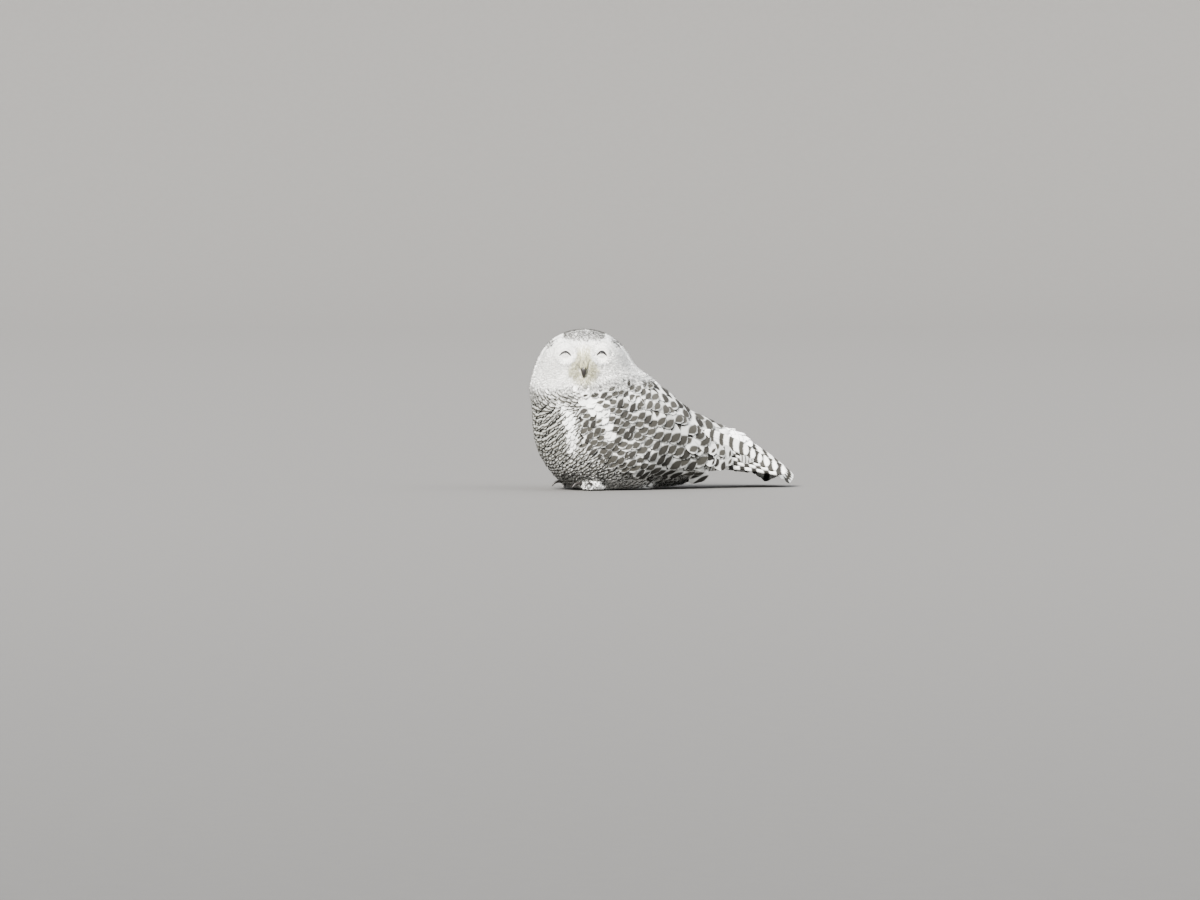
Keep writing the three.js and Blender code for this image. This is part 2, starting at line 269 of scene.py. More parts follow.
floor = studio_sweep(sweep_profile())
floor_finish, tree, shader = new_material("matt studio paper")
speckle = noise(tree, object_coordinates(tree), 40.0, 4.0)
tree.links.new(mixed(tree, speckle, FLOOR_GREY, FLOOR_SPECKLE), shader.inputs["Base Color"])
shader.inputs["Roughness"].default_value = 0.9
floor.data.materials.append(floor_finish)
print(f"floor: {len(floor.data.polygons)} faces")


# %% Lamps
def sun(name, along, towards, height, softness, strength, colour):
    """A soft distant lamp: along to the camera's right, towards the camera, and height up. Its
    softness is in degrees."""
    data = bpy.data.lights.new(name, "SUN")
    data.angle = math.radians(softness)
    data.energy = strength
    data.color = colour
    made = bpy.data.objects.new(name, data)
    from_there = Vector(camera_right * along + camera_side * towards + UP * height)
    made.rotation_euler = from_there.to_track_quat("Z", "Y").to_euler()
    bpy.context.scene.collection.objects.link(made)
    print(f"{name} sun: strength {strength}, {softness} degrees wide")


sun("key", along=-0.50, towards=0.85, height=0.90, softness=24, strength=21.0, colour=(1.0, 0.97, 0.93))
sun("fill", along=0.9, towards=0.6, height=0.7, softness=60, strength=7.0, colour=(0.96, 0.98, 1.0))

world = bpy.data.worlds.new("soft room")
world.use_nodes = True
glow = world.node_tree.nodes["Background"]
glow.inputs["Color"].default_value = (0.93, 0.96, 1.0, 1)
glow.inputs["Strength"].default_value = 2.4
bpy.context.scene.world = world

# %% [markdown]
# ## The skin
#
# Under its feathers an owl has one unbroken skin. Copies of the solids of flesh are melted
# into one closed surface by a voxel remesh, which also closes the thin gaps between them.
# Then each point sinks inwards by the depth of the coat that will lie on it: shallow on the
# face and feet, deeper on the breast. A thin place, such as a wing tip, sinks less, so that
# the two sides never meet.

# %% Melt the flesh into one surface
FLESH = ["head", "neck", "trunk", "wing_left", "wing_right", "leg_left", "leg_right"]
VOXEL = 3.0 * MM
MELT_ROUNDS = 6  # of smoothing after the melt
SINK_ROUNDS = 8  # and after the skin has sunk


def joined_copy(name, nodes):
    """One object made of merged copies of solids."""
    shape = bmesh.new()
    for node in nodes:
        shape.from_mesh(frame["nodes"][node].data)
    bmesh.ops.remove_doubles(shape, verts=shape.verts, dist=1e-6)
    mesh = bpy.data.meshes.new(name)
    shape.to_mesh(mesh)
    shape.free()
    made = bpy.data.objects.new(name, mesh)
    bpy.context.scene.collection.objects.link(made)
    return made


def settle(made):
    """Turns an object with modifiers into a plain mesh."""
    bpy.context.view_layer.update()
    evaluated = made.evaluated_get(bpy.context.evaluated_depsgraph_get())
    mesh = bpy.data.meshes.new_from_object(evaluated)
    made.modifiers.clear()
    old, made.data = made.data, mesh
    bpy.data.meshes.remove(old)
    return made


def add_modifier(made, kind, **settings):
    modifier = made.modifiers.new(kind.lower(), kind)
    for key, value in settings.items():
        setattr(modifier, key, value)
    return modifier


def places(mesh):
    """The places of a mesh's vertices, in metres."""
    found = np.empty(len(mesh.vertices) * 3, np.float32)
    mesh.vertices.foreach_get("co", found)
    return found.reshape(-1, 3).astype(float)


def vertex_normals(mesh):
    found = np.empty(len(mesh.vertices) * 3, np.float32)
    mesh.vertex_normals.foreach_get("vector", found)
    return found.reshape(-1, 3).astype(float)


def move_vertices(mesh, points):
    mesh.vertices.foreach_set("co", points.astype(np.float32).ravel())
    mesh.update()


def write_numbers(mesh, name, values):
    """Gives each vertex a number."""
    mesh.attributes.new(name, "FLOAT", "POINT").data.foreach_set("value", values.astype(np.float32))


def corner_vertices(mesh):
    """The vertex at each corner of each face."""
    found = np.empty(len(mesh.loops), int)
    mesh.loops.foreach_get("vertex_index", found)
    return found


def write_map(mesh, name, spots):
    """A map for textures, with one spot for each vertex."""
    layer = mesh.uv_layers.new(name=name)
    layer.data.foreach_set("uv", np.array(spots, np.float32)[corner_vertices(mesh)].ravel())


def write_vectors(mesh, name, vectors):
    """Gives each vertex a vector."""
    layer = mesh.attributes.new(name, "FLOAT_VECTOR", "POINT")
    layer.data.foreach_set("vector", vectors.astype(np.float32).ravel())


def keep_largest_shell(made):
    """Deletes every loose shell but the largest, such as the walls of a closed gap."""
    shape = bmesh.new()
    shape.from_mesh(made.data)
    shape.verts.ensure_lookup_table()
    shell = np.full(len(shape.verts), -1)
    count = 0
    for start in shape.verts:
        if shell[start.index] >= 0:
            continue
        shell[start.index] = count
        queue = [start]
        while queue:
            for edge in queue.pop().link_edges:
                for vertex in edge.verts:
                    if shell[vertex.index] < 0:
                        shell[vertex.index] = count
                        queue.append(vertex)
        count += 1
    largest = np.bincount(shell).argmax()
    spare = [v for v in shape.verts if shell[v.index] != largest]
    bmesh.ops.delete(shape, geom=spare, context="VERTS")
    shape.to_mesh(made.data)
    shape.free()
    return count


skin = joined_copy("skin", FLESH)
add_modifier(skin, "REMESH", mode="VOXEL", voxel_size=VOXEL, use_smooth_shade=True)
settle(skin)
shells = keep_largest_shell(skin)
add_modifier(skin, "SMOOTH", factor=0.5, iterations=MELT_ROUNDS)
settle(skin)
print(f"skin: {len(skin.data.polygons)} faces, {shells} shells melted into one")


# %% [markdown]
# ### How deep the coat is
#
# The coat's depth is a field over the body, in millimetres, worked out from which solid a
# point belongs to. A ray cast inwards finds how thick the body is there, and no point sinks
# by more than a third of that.

# %% Sink the skin by the coat's depth
COAT_DEPTH = {"face": 2.6, "head": 3.4, "neck": 4.6, "trunk": 5.4, "wing": 4.6, "leg": 2.0}
MOST_OF_THICKNESS = 0.34
JUST_INSIDE = 1e-4  # metres, so that a ray misses the face that it starts from
NO_WALL = 1.0  # metres of room where a ray meets nothing


def tree_of(nodes):
    """A search tree over some solids."""
    shape = bmesh.new()
    for node in nodes:
        shape.from_mesh(frame["nodes"][node].data)
    found = BVHTree.FromBMesh(shape)
    shape.free()
    return found


def distances_to(tree_found, points):
    return np.array([tree_found.find_nearest(Vector(p))[3] for p in points])


def nearest_part(points):
    """The name in COAT_DEPTH of the solid that each point is nearest to."""
    groups = {
        "head": ["head"], "neck": ["neck"], "trunk": ["trunk"],
        "wing": ["wing_left", "wing_right"], "leg": ["leg_left", "leg_right"],
    }
    gaps = np.stack([distances_to(tree_of(nodes), points) for nodes in groups.values()])
    return np.array(list(groups))[gaps.argmin(0)]


def sink(made, depth):
    """Moves each vertex inwards along its normal, by depth in metres."""
    points, normals = places(made.data), vertex_normals(made.data)
    faces = [tuple(face.vertices) for face in made.data.polygons]
    inside = BVHTree.FromPolygons([tuple(p) for p in points], faces)
    room = np.empty(len(points))
    for i, (point, normal) in enumerate(zip(points, normals)):
        hit = inside.ray_cast(Vector(point - normal * JUST_INSIDE), Vector(-normal))
        room[i] = hit[3] if hit[3] else NO_WALL
    move_vertices(made.data, points - normals * np.minimum(depth, room * MOST_OF_THICKNESS)[:, None])


skin_points = places(skin.data)
skin_part = nearest_part(skin_points)
depth = np.array([COAT_DEPTH[part] for part in skin_part])
left, ahead, height = on_head(skin_points).T
facing = (skin_part == "head") * smooth(20, 50, ahead)
depth += (COAT_DEPTH["face"] - COAT_DEPTH["head"]) * facing
sink(skin, depth * MM)
add_modifier(skin, "SMOOTH", factor=0.5, iterations=SINK_ROUNDS)
settle(skin)
skin.data.shade_smooth()
print(f"the coat is {depth.min():.1f} to {depth.max():.1f} mm deep")

# %% [markdown]
# ### Asking the skin
#
# Every feather needs the nearest place on the skin, and the way the skin faces there. A search
# tree answers both quickly. The facing is blended between the corners of a face, because the
# flat faces of the mesh would tilt neighbouring feathers by different amounts.

# %% Search the skin
class Surface:
    """A mesh that can be asked for its nearest point and normal, or hit by a ray."""

    def __init__(self, mesh):
        self.points = places(mesh)
        self.normals = vertex_normals(mesh)
        self.faces = [tuple(face.vertices) for face in mesh.polygons]
        self.tree = BVHTree.FromPolygons([tuple(p) for p in self.points], self.faces)

    def smooth_normal(self, place, face):
        """The vertex normals of a face, weighted by how near each vertex is."""
        corners = list(self.faces[face])
        weight = 1 / (np.linalg.norm(self.points[corners] - np.array(place), axis=1) + 1e-5)
        return unit(weight @ self.normals[corners])

    def hit(self, start, direction):
        """Where a ray meets the surface, and the normal there, or None."""
        place, _, face, _ = self.tree.ray_cast(Vector(start), Vector(direction))
        return None if place is None else (np.array(place), self.smooth_normal(place, face))


skin_surface = Surface(skin.data)
print(f"skin: {len(skin_surface.faces)} faces can be searched")

# %% [markdown]
# ## Eyes
#
# An owl's eye is a fixed, forward-looking ball with a clear bulging front. Each ball here is
# turned on a lathe of two curves, the white and the tighter cornea, round the axis that the
# eye looks along. Its colour comes from rings round that axis: a black pupil, a yellow iris
# with fine spokes, and a dark edge.

# %% Eyeballs
EYE_RADIUS = (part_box("eye_left")[1][2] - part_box("eye_left")[0][2]) / 2 / MM
CORNEA_RADIUS = 9.4  # mm
CORNEA_BULGE = 0.9
EYE_RINGS = 40
EYE_SIDES = 64
# How far along the ball's axis each colour lies, as a share of its radius, from the white
# through the dark edge and the yellow iris to the black pupil.
EYE_COLOURS = (
    (0.0, (0.30, 0.27, 0.22)), (0.66, (0.30, 0.27, 0.22)), (0.70, (0.02, 0.012, 0.005)),
    (0.74, (0.55, 0.30, 0.015)), (0.90, (0.82, 0.52, 0.03)), (0.925, (0.35, 0.18, 0.01)),
    (0.94, (0.004, 0.004, 0.005)),
)
SPOKE_DEPTH = 0.02  # how far the spokes push the colours along


def lathe(name, profile, start, axis, sides):
    """Turns (distance along the axis, radius) pairs into a closed round mesh."""
    axis = unit(np.array(axis))
    across = unit(np.cross(axis, UP))
    rise = np.cross(across, axis)
    vertices, faces = [start + axis * profile[0][0]], []
    for along, radius in profile[1:-1]:
        for k in range(sides):
            angle = 2 * math.pi * k / sides
            out = across * math.cos(angle) + rise * math.sin(angle)
            vertices.append(start + axis * along + radius * out)
    vertices.append(start + axis * profile[-1][0])
    rings = len(profile) - 2
    last = 1 + (rings - 1) * sides
    for k in range(sides):
        after = (k + 1) % sides
        faces.append((0, 1 + after, 1 + k))
        for i in range(rings - 1):
            a, b = 1 + i * sides, 1 + (i + 1) * sides
            faces.append((a + k, a + after, b + after, b + k))
        faces.append((last + k, last + after, len(vertices) - 1))
    made = mesh_object(name, vertices, faces)
    point_faces_outwards(made.data)
    made.data.shade_smooth()
    return made


def eye_profile():
    """From the back of the ball to the tip of the cornea, in metres."""
    rings = []
    for k in range(EYE_RINGS + 1):
        angle = math.pi * (1 - k / EYE_RINGS)
        along, radius = EYE_RADIUS * math.cos(angle), EYE_RADIUS * math.sin(angle)
        if along > 0 and radius < CORNEA_RADIUS:
            along += CORNEA_BULGE * (1 - (radius / CORNEA_RADIUS) ** 2)
        rings.append((along * MM, radius * MM))
    return rings


def sums(tree, operation, *given, clamp=False):
    """One step of arithmetic. Each value is a socket or a number."""
    node = add_node(tree, "ShaderNodeMath", operation=operation, use_clamp=clamp)
    for socket, value in zip(node.inputs, given):
        if isinstance(value, bpy.types.NodeSocket):
            tree.links.new(value, socket)
        else:
            socket.default_value = value
    return node.outputs[0]


def eye_finish(side):
    """Rings of colour round the axis of one eye, with spokes, under a wet coat."""
    material, tree, shader = new_material(f"eye {side}")
    coordinates = object_coordinates(tree)
    offset = add_node(tree, "ShaderNodeVectorMath", operation="SUBTRACT")
    offset.inputs[1].default_value = EYES[side]
    tree.links.new(coordinates, offset.inputs[0])
    along = add_node(tree, "ShaderNodeVectorMath", operation="DOT_PRODUCT")
    along.inputs[1].default_value = HEAD_AHEAD
    tree.links.new(offset.outputs[0], along.inputs[0])
    rings = add_node(tree, "ShaderNodeValToRGB")
    ramp = rings.color_ramp
    while len(ramp.elements) < len(EYE_COLOURS):
        ramp.elements.new(0.5)
    for element, (place, colour) in zip(ramp.elements, EYE_COLOURS):
        element.position, element.color = place, (*colour, 1)
    share = sums(tree, "DIVIDE", along.outputs["Value"], EYE_RADIUS * MM)
    spokes = noise(tree, coordinates, 900.0, 2.0)
    wobble = sums(tree, "MULTIPLY_ADD", spokes, SPOKE_DEPTH, share)
    tree.links.new(wobble, rings.inputs["Fac"])
    tree.links.new(rings.outputs["Color"], shader.inputs["Base Color"])
    shader.inputs["Roughness"].default_value = 0.06
    shader.inputs["Coat Weight"].default_value = 1.0
    shader.inputs["Coat Roughness"].default_value = 0.02
    return material


for side, place in EYES.items():
    ball = lathe(f"eyeball_{side}", eye_profile(), place, HEAD_AHEAD, EYE_SIDES)
    ball.data.materials.append(eye_finish(side))
    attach(ball, "root")
    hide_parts(f"eye_{side}")
eye_spacing = np.linalg.norm(EYES["left"] - EYES["right"]) / MM
print(f"eyes: radius {EYE_RADIUS:.1f} mm, {eye_spacing:.0f} mm apart")

# %% [markdown]
# ## Eyelids
#
# The owl is dozing: the upper lid has come down and the lower lid has pushed up into an arch,
# so each eye is a smiling slit with a bare black edge. A lid is a patch of mesh between the
# edge of the slit and a wide ring out on the skin. Near the slit it hugs the eyeball, and
# further out it runs into the skin, so there is no step round the eye.

# %% Lids
# For each eye: half the width of the slit, and how far its outer and inner corners lie below
# the top of its arch, in mm.
SLITS = {"right": (10.4, 6.3, 8.6), "left": (8.6, 6.6, 6.0)}
SLIT_TOP = 3.2  # above the middle of the eye
SLIT_GAP = {"right": 1.35, "left": 1.9}  # half the opening at its widest
LID_THICKNESS = 0.9
LID_REACH = 20.0  # radius of the ring where the lid meets the skin
LID_LEAVES_BALL = (8.0, 17.0)  # radii between which it passes from the eyeball to the skin
LID_ROUNDED = (6.5, 12.5)  # radii between which the fold there grows round
LID_ROUNDING = 8.0  # how round it gets
LID_OVER_SKIN = 0.15  # how far ahead of the skin the lid's outer part lies
LID_TUCK = 0.5  # how far its last ring dips back under the skin
LID_COLUMNS = 48
LID_ROWS = 14
AHEAD_OF_FACE = 140  # a place ahead of the bill, from which rays look back at the face
RIM_STEPS = 96
RIM_SIDES = 8
RIM_RADIUS = 0.85
RIM_FLATNESS = 0.8
RIM_AHEAD = 0.15  # how far ahead of the lid the rim's middle lies


def skin_ahead(left, height):
    """How far ahead the skin lies at a place on the face, in mm."""
    found = skin_surface.hit(from_head(left, AHEAD_OF_FACE, height), -HEAD_AHEAD)
    return on_head(found[0])[1]


def slit_height(side, x):
    """The middle line of the slit: x runs outwards from the middle of the eye, in mm."""
    half, outer, inner = SLITS[side]
    t = np.clip(x / half, -1, 1)
    return SLIT_TOP - np.where(t > 0, outer, inner) * t * t


def slit_edge(side, turn):
    """A point on the edge of the slit, as turn runs once round it from the outer corner."""
    half = SLITS[side][0]
    x = half * np.cos(turn)
    return x, slit_height(side, x) + SLIT_GAP[side] * np.sin(turn) * np.sqrt(np.abs(np.sin(turn)))


def greater(first, second, softness):
    """The larger of two values, with a rounded corner where they cross."""
    return 0.5 * (first + second + np.sqrt((first - second) ** 2 + softness**2))


def lid_place(side, x, z, rim):
    """The lid's surface over a place beside the eye. rim is how far ahead the skin is there."""
    radius = np.hypot(x, z)
    dome = EYE_RADIUS + LID_THICKNESS
    ball = EYE_AHEAD + np.sqrt(np.maximum(dome**2 - radius**2, 0)) - 2.0 * np.maximum(radius - dome, 0)
    to_skin = ball + (rim - ball) * smooth(*LID_LEAVES_BALL, radius)
    ahead = greater(ball, to_skin, LID_ROUNDING * smooth(*LID_ROUNDED, radius))
    base = EYE_PLACES[side]
    return from_head(base[0] + SIGN[side] * x, ahead, base[2] + z)


def make_lids(side):
    """Both lids of one eye as one patch, with its surface and how far ahead its outer ring is."""
    base = EYE_PLACES[side]
    turns = np.arange(2 * LID_COLUMNS) * math.pi / LID_COLUMNS
    rims = []
    for turn in turns:
        x, z = LID_REACH * math.cos(turn), LID_REACH * math.sin(turn)
        rims.append(skin_ahead(base[0] + SIGN[side] * x, base[2] + z) + LID_OVER_SKIN)
    rims = np.array(rims)
    vertices, faces = [], []
    for row in range(LID_ROWS):
        t = row / (LID_ROWS - 1)
        for k, turn in enumerate(turns):
            inner_x, inner_z = slit_edge(side, turn)
            x = inner_x + (LID_REACH * math.cos(turn) - inner_x) * t
            z = inner_z + (LID_REACH * math.sin(turn) - inner_z) * t
            vertices.append(lid_place(side, x, z, rims[k] - LID_TUCK * (t == 1)))
    count = len(turns)
    for row in range(LID_ROWS - 1):
        for k in range(count):
            after = (k + 1) % count
            a, b = row * count, (row + 1) * count
            faces.append((a + k, b + k, b + after, a + after)[::SIGN[side]])
    made = mesh_object(f"eyelids_{side}", vertices, faces)
    made.data.shade_smooth()
    return made, Surface(made.data), rims


def make_rim(side, rims):
    """The bare black edge: a thin tube that follows the slit."""
    turns = np.arange(RIM_STEPS) * 2 * math.pi / RIM_STEPS
    track = np.array([lid_place(side, *slit_edge(side, turn), rims[0]) for turn in turns])
    track += HEAD_AHEAD * RIM_AHEAD * MM
    ahead = unit(np.roll(track, -1, 0) - np.roll(track, 1, 0))
    out = unit(track - EYES[side])
    across = np.cross(ahead, out)
    vertices, faces = [], []
    for k in range(RIM_STEPS):
        for j in range(RIM_SIDES):
            angle = 2 * math.pi * j / RIM_SIDES
            spoke = math.cos(angle) * out[k] * RIM_FLATNESS + math.sin(angle) * across[k]
            vertices.append(track[k] + RIM_RADIUS * MM * spoke)
    for k in range(RIM_STEPS):
        a, b = k * RIM_SIDES, (k + 1) % RIM_STEPS * RIM_SIDES
        for j in range(RIM_SIDES):
            beside = (j + 1) % RIM_SIDES
            faces.append((a + j, b + j, b + beside, a + beside))
    made = mesh_object(f"lid_rim_{side}", vertices, faces)
    point_faces_outwards(made.data)
    made.data.shade_smooth()
    return made


lids, lid_surfaces, lid_rims = {}, {}, {}
for side in EYES:
    lids[side], lid_surfaces[side], rims = make_lids(side)
    lid_rims[side] = make_rim(side, rims)
    print(f"lids {side}: they end {rims.min():.0f} to {rims.max():.0f} mm ahead of the neck")

# %% [markdown]
# ## The lie of the coat
#
# Feathers never stand at random. On the head they stream away from the bill and the eyes, over
# the crown and down the nape. On the breast they hang down and back, on the wing and the flank
# they point more down than back, and along the ridge and near the tail they point at the tail.
# One field of directions over the whole bird says which way a feather lies, and most coats
# below ask it. Each direction is first given in space and then laid flat on the skin.

# %% Directions of the feathers
FACE_MIDDLE = from_head(0, 80, 213)
BREAST_LIE = np.array([0.0, 0.85, -0.53])
WING_LIE = np.array([0.0, 0.52, -0.85])
RIDGE_LIE = np.array([0.0, 0.84, -0.54])
TIP_LIE = np.array([0.0, 0.92, -0.39])
DISC_REACH = 30.0  # how far an eye's rays of feathers reach, mm


def blend(share, first, second):
    """Between two sets of vectors: the first where share is 0, the second where it is 1."""
    return first * (1 - share)[:, None] + second * share[:, None]


def tangent(vectors, normals):
    """Vectors laid flat on a surface with these normals."""
    return unit(vectors - (vectors * normals).sum(1, keepdims=True) * normals)


def lie_of(points, normals):
    """The direction in which feathers lie at these places: first the body's, then the head's,
    and then a soft change from one to the other at the height of the chest and the nape."""
    left, ahead, height = on_head(points).T
    _, back, _ = on_body(points)
    body = blend(smooth(20, 90, back), np.tile(BREAST_LIE, (len(points), 1)), WING_LIE)
    body = blend(smooth(0.25, 0.85, normals[:, 2]), body, RIDGE_LIE)
    body = blend(smooth(250, 350, back), body, TIP_LIE)

    behind = smooth(25, -45, ahead)
    head = blend(behind, unit(points - FACE_MIDDLE) - 0.25 * UP, -0.45 * HEAD_AHEAD - 1.0 * UP)
    for eye in EYE_PLACES.values():
        x, z = left - eye[0], height - eye[2]
        near = (1 - smooth(12, DISC_REACH, np.hypot(x, z))) * (ahead > 30)
        rays = unit(x[:, None] * HEAD_LEFT + z[:, None] * UP + 1e-6)
        head = blend(near * 0.85, unit(head), rays)
    chest = 150 + 22 * smooth(60, 110, back)
    lie = blend(smooth(chest - 14, chest + 16, height), body, unit(head))
    return tangent(lie, normals)


on_ridge = NECK_AXIS + [0, 0.12, 0]
print("on the ridge of the back feathers lie along", lie_of(on_ridge[None], UP[None])[0].round(2))

# %% [markdown]
# ## The markings
#
# A young or female snowy owl is white with dark bars. The face and the bib stay white. The
# breast has fine close bars, the wing and the back have bold ones that grow wider apart towards
# the tail, and the crown has a cap of small flecks. The bars are weaker or missing behind the
# breast, where the shoulder feathers end, on the toes and near the ground. The white ground of
# the body is greyed with painted shade, most of all on the breast.
#
# How strong the bars are, and how much painted shade greys the ground, is worked out here from
# the place of a feather's root. The skin under the coat asks the same function. Side view
# distances are measured as seen from a little ahead of the bird's side, on both sides alike.

# %% Where the bars are
QUARTER_TURN = math.radians(24)  # how far ahead of the side the bird is seen from
BIB_FRONT = 163  # the height of the bib's lower edge at the front, mm
BIB_SIDE_RISE = 15  # how much higher it is at the side
BIB_NAPE_RISE = 8  # and how much higher still at the nape
BAR_DROP = 13  # how far a feather's last bar lies below its root
BODY_PAINTED_SHADE = 0.64  # the usual painted shade that greys the ground, and how much it wanders
PAINTED_SHADE_WANDER = 0.16
# the stronger painted shade on the breast
BREAST_PAINTED_SHADE = 0.95
WRIST_MORE = 0.12  # how much stronger the bars are at the wing's wrist
PAINTED_SHADE_GOES = 0.7  # how much of the painted shade goes where all of the bars go
WAVES = 6


def quarter_view(points):
    """How far along the bird a place looks from a little ahead of its side, in mm."""
    out, back, _ = on_body(points)
    middle_back = NECK_BACK - NECK_AXIS[1] / MM
    return math.sin(QUARTER_TURN) * out + math.cos(QUARTER_TURN) * (back - middle_back)


def wander(points, size, seed):
    """A smooth field of random numbers, mostly from -1 to 1, made of a few waves."""
    dice = np.random.default_rng(seed)
    total = np.zeros(len(points))
    for _ in range(WAVES):
        wave = unit(dice.normal(size=3)) * 2 * math.pi / (size * MM * dice.uniform(0.7, 1.5))
        total += np.sin(points @ wave + dice.uniform(0, 2 * math.pi))
    return total / (WAVES / 2)


def near_line(x, z, start, end, half_start, half_end):
    """1 on a straight band between two points, fading at its edges, 0 away from it."""
    run = np.array(end, float) - start
    t = np.clip(((x - start[0]) * run[0] + (z - start[1]) * run[1]) / (run @ run), 0, 1)
    gap = np.hypot(x - start[0] - t * run[0], z - start[1] - t * run[1])
    half = half_start + (half_end - half_start) * t
    return 1 - smooth(0.6, 1.25, gap / half)


def bib_line(back):
    return BIB_FRONT + BIB_SIDE_RISE * smooth(28, 72, back) + BIB_NAPE_RISE * smooth(92, 160, back)


def markings(points):
    """How strong the bars are at these places, 1 being usual, and how much painted shade greys the ground,
    0 to 1.
    """
    along = quarter_view(points)
    _, back, height = on_body(points)
    drift = 4 * wander(points, 40, 3)
    bars = np.ones(len(points))
    grey_and_painted_shade = BODY_PAINTED_SHADE + PAINTED_SHADE_WANDER * wander(points, 40, 5)
    breast = near_line(along, height, (-205, 142), (-192, 92), 22, 30)
    grey_and_painted_shade = grey_and_painted_shade + (BREAST_PAINTED_SHADE - grey_and_painted_shade) * breast
    wrist = near_line(along, height, (-142, 120), (-112, 82), 18, 24)
    bars = bars + WRIST_MORE * wrist

    gap = near_line(along, height, (-168, 152), (-163, 78), 9, 6)
    scapular_gap = near_line(along, height, (-131, 172), (-98, 106), 13, 6)
    belly = near_line(along, height, (-92, 20), (-40, 18), 14, 16) * (height < 60)
    under = 1 - smooth(4, 16, height)
    toes = near_line(along, height, (-152, 4), (-116, 8), 15, 8)
    covert_gap = near_line(along, height, (84, 110), (128, 92), 10, 9)
    for plain, most in ((gap, 0.85), (scapular_gap, 1.0), (belly, 0.35), (toes, 1.0), (under, 0.6),
                        (covert_gap, 0.9)):
        bars = bars * (1 - most * plain)
        grey_and_painted_shade = grey_and_painted_shade * (1 - PAINTED_SHADE_GOES * most * plain)

    bib = smooth(-5, 4, height + 0.5 * drift - bib_line(back) - BAR_DROP)
    bars, grey_and_painted_shade = bars * (1 - bib), grey_and_painted_shade * (1 - bib)
    return bars, np.clip(grey_and_painted_shade, 0, 1)


bars, grey_and_painted_shade = markings(skin_surface.points)
print(f"bars cover {100 * float((bars > 0.5).mean()):.0f} per cent of the skin")

# %% [markdown]
# ## Feather shapes
#
# Thousands of feathers need very few faces each. There are two kinds. A vane is a thin closed
# leaf with a ridge along its middle, a rounded tip and a slightly ragged edge. A tuft of down
# is a fan of thin tapering strands, as on the face and the feet. Each kind gets a few
# variants, so that no two neighbours look the same. A shape lies along +Y from its root, is
# one unit long and wide and rises from 0 to 1, so that a feather's size can be set later.

# %% Shapes of one feather
def rise_at(v):
    """The height of a feather over the skin. It climbs evenly, as roof tiles do, so that the
    tips of one row always lie over the middles of the next."""
    return 0.9 * v + 0.1 * v * v


def finish_shape(name, vertices, faces, maps, collection, sharp=()):
    """A feather shape with its own map, named vane: across it and along it."""
    mesh = bpy.data.meshes.new(name)
    mesh.from_pydata([tuple(v) for v in vertices], [], faces)
    write_map(mesh, "vane", maps)
    mesh.shade_smooth()
    for edge in mesh.edges:
        if edge.vertices[0] in sharp and edge.vertices[1] in sharp:
            edge.use_edge_sharp = True
    made = bpy.data.objects.new(name, mesh)
    collection.objects.link(made)
    return len(faces)


VANE_COLUMNS = (-1.0, -0.5, 0.0, 0.5, 1.0)
NARROWEST = 0.12  # the width of a vane's tip
ROUND_FROM = 0.58  # where along the vane the round tip begins


def vane(name, collection, dice, rows, frayed=0.05, camber=0.15, root=0.3, thick=0.12):
    """A thin closed leaf. Each row has a point for each column above and one keel below."""
    keel = len(VANE_COLUMNS)
    last_column, ring = keel - 1, keel + 1
    vertices, maps, faces = [], [], []
    for v in rows:
        half = 0.5 * (root + (1 - root) * math.sin(min(v / 0.5, 1) * math.pi / 2))
        past = max(0.0, v - ROUND_FROM) / (1 - ROUND_FROM)
        half *= max(NARROWEST, math.sqrt(max(0.0, 1 - past**2)))
        height = rise_at(v)
        for u in VANE_COLUMNS:
            x = half * u * (1 + dice.uniform(-frayed, frayed))
            y = v + dice.uniform(-frayed, frayed) * smooth(0.6, 0.9, v) * (0.3 + abs(u))
            vertices.append((x, y, height - camber * u * u))
            maps.append((0.5 + half * u, v))
        vertices.append((0, v, height - camber * 0.5 - thick))
        maps.append((0.5, v))
    for i in range(len(rows) - 1):
        a, b = ring * i, ring * (i + 1)
        faces += [(a + k, a + k + 1, b + k + 1, b + k) for k in range(last_column)]
        faces += [(a + keel, a, b, b + keel), (a + last_column, a + keel, b + keel, b + last_column)]
    last = ring * (len(rows) - 1)
    faces += [tuple(reversed(range(ring))), tuple(last + k for k in range(ring))]
    outline = {ring * i + k for i in range(len(rows)) for k in (0, last_column)}
    return finish_shape(name, vertices, faces, maps, collection, outline)


def down_tuft(name, collection, dice, strands=5, spread=0.5, width=0.16, thick=0.14):
    """A fan of thin strands, each with three sides and a point."""
    vertices, maps, faces = [], [], []
    for k in range(strands):
        share = (k + 0.5) / strands * 2 - 1 + dice.uniform(-0.12, 0.12)
        length = 1 - 0.28 * share**2 - dice.uniform(0, 0.22)
        height = dice.uniform(0.75, 1.15)
        first = len(vertices)
        for v, half in ((0.0, 0.7), (0.5, 1.0)):
            x = share * spread * (0.35 + 0.65 * v)
            z = rise_at(v * length) * height
            vertices += [
                (x - half * width / 2, v * length, z - thick / 2),
                (x + half * width / 2, v * length, z - thick / 2),
                (x, v * length, z + thick / 2),
            ]
            maps += [(0.5 + share / 2, v)] * 3
        vertices.append((share * spread * 1.05, length, rise_at(length) * height))
        maps.append((0.5 + share / 2, 1))
        a, b, end = first, first + 3, first + 6
        for j in range(3):
            n = (j + 1) % 3
            faces += [(a + j, a + n, b + n, b + j), (b + j, b + n, end)]
        faces.append((a + 2, a + 1, a))
    return finish_shape(name, vertices, faces, maps, collection)


def shape_family(name, maker, count, **settings):
    """A collection of variants of one shape."""
    collection = bpy.data.collections.new(name)
    dice = np.random.default_rng(len(name))
    for k in range(count):
        faces = maker(f"{name}_{k}", collection, dice, **settings)
    print(f"{name}: {count} variants of {faces} faces")
    return collection


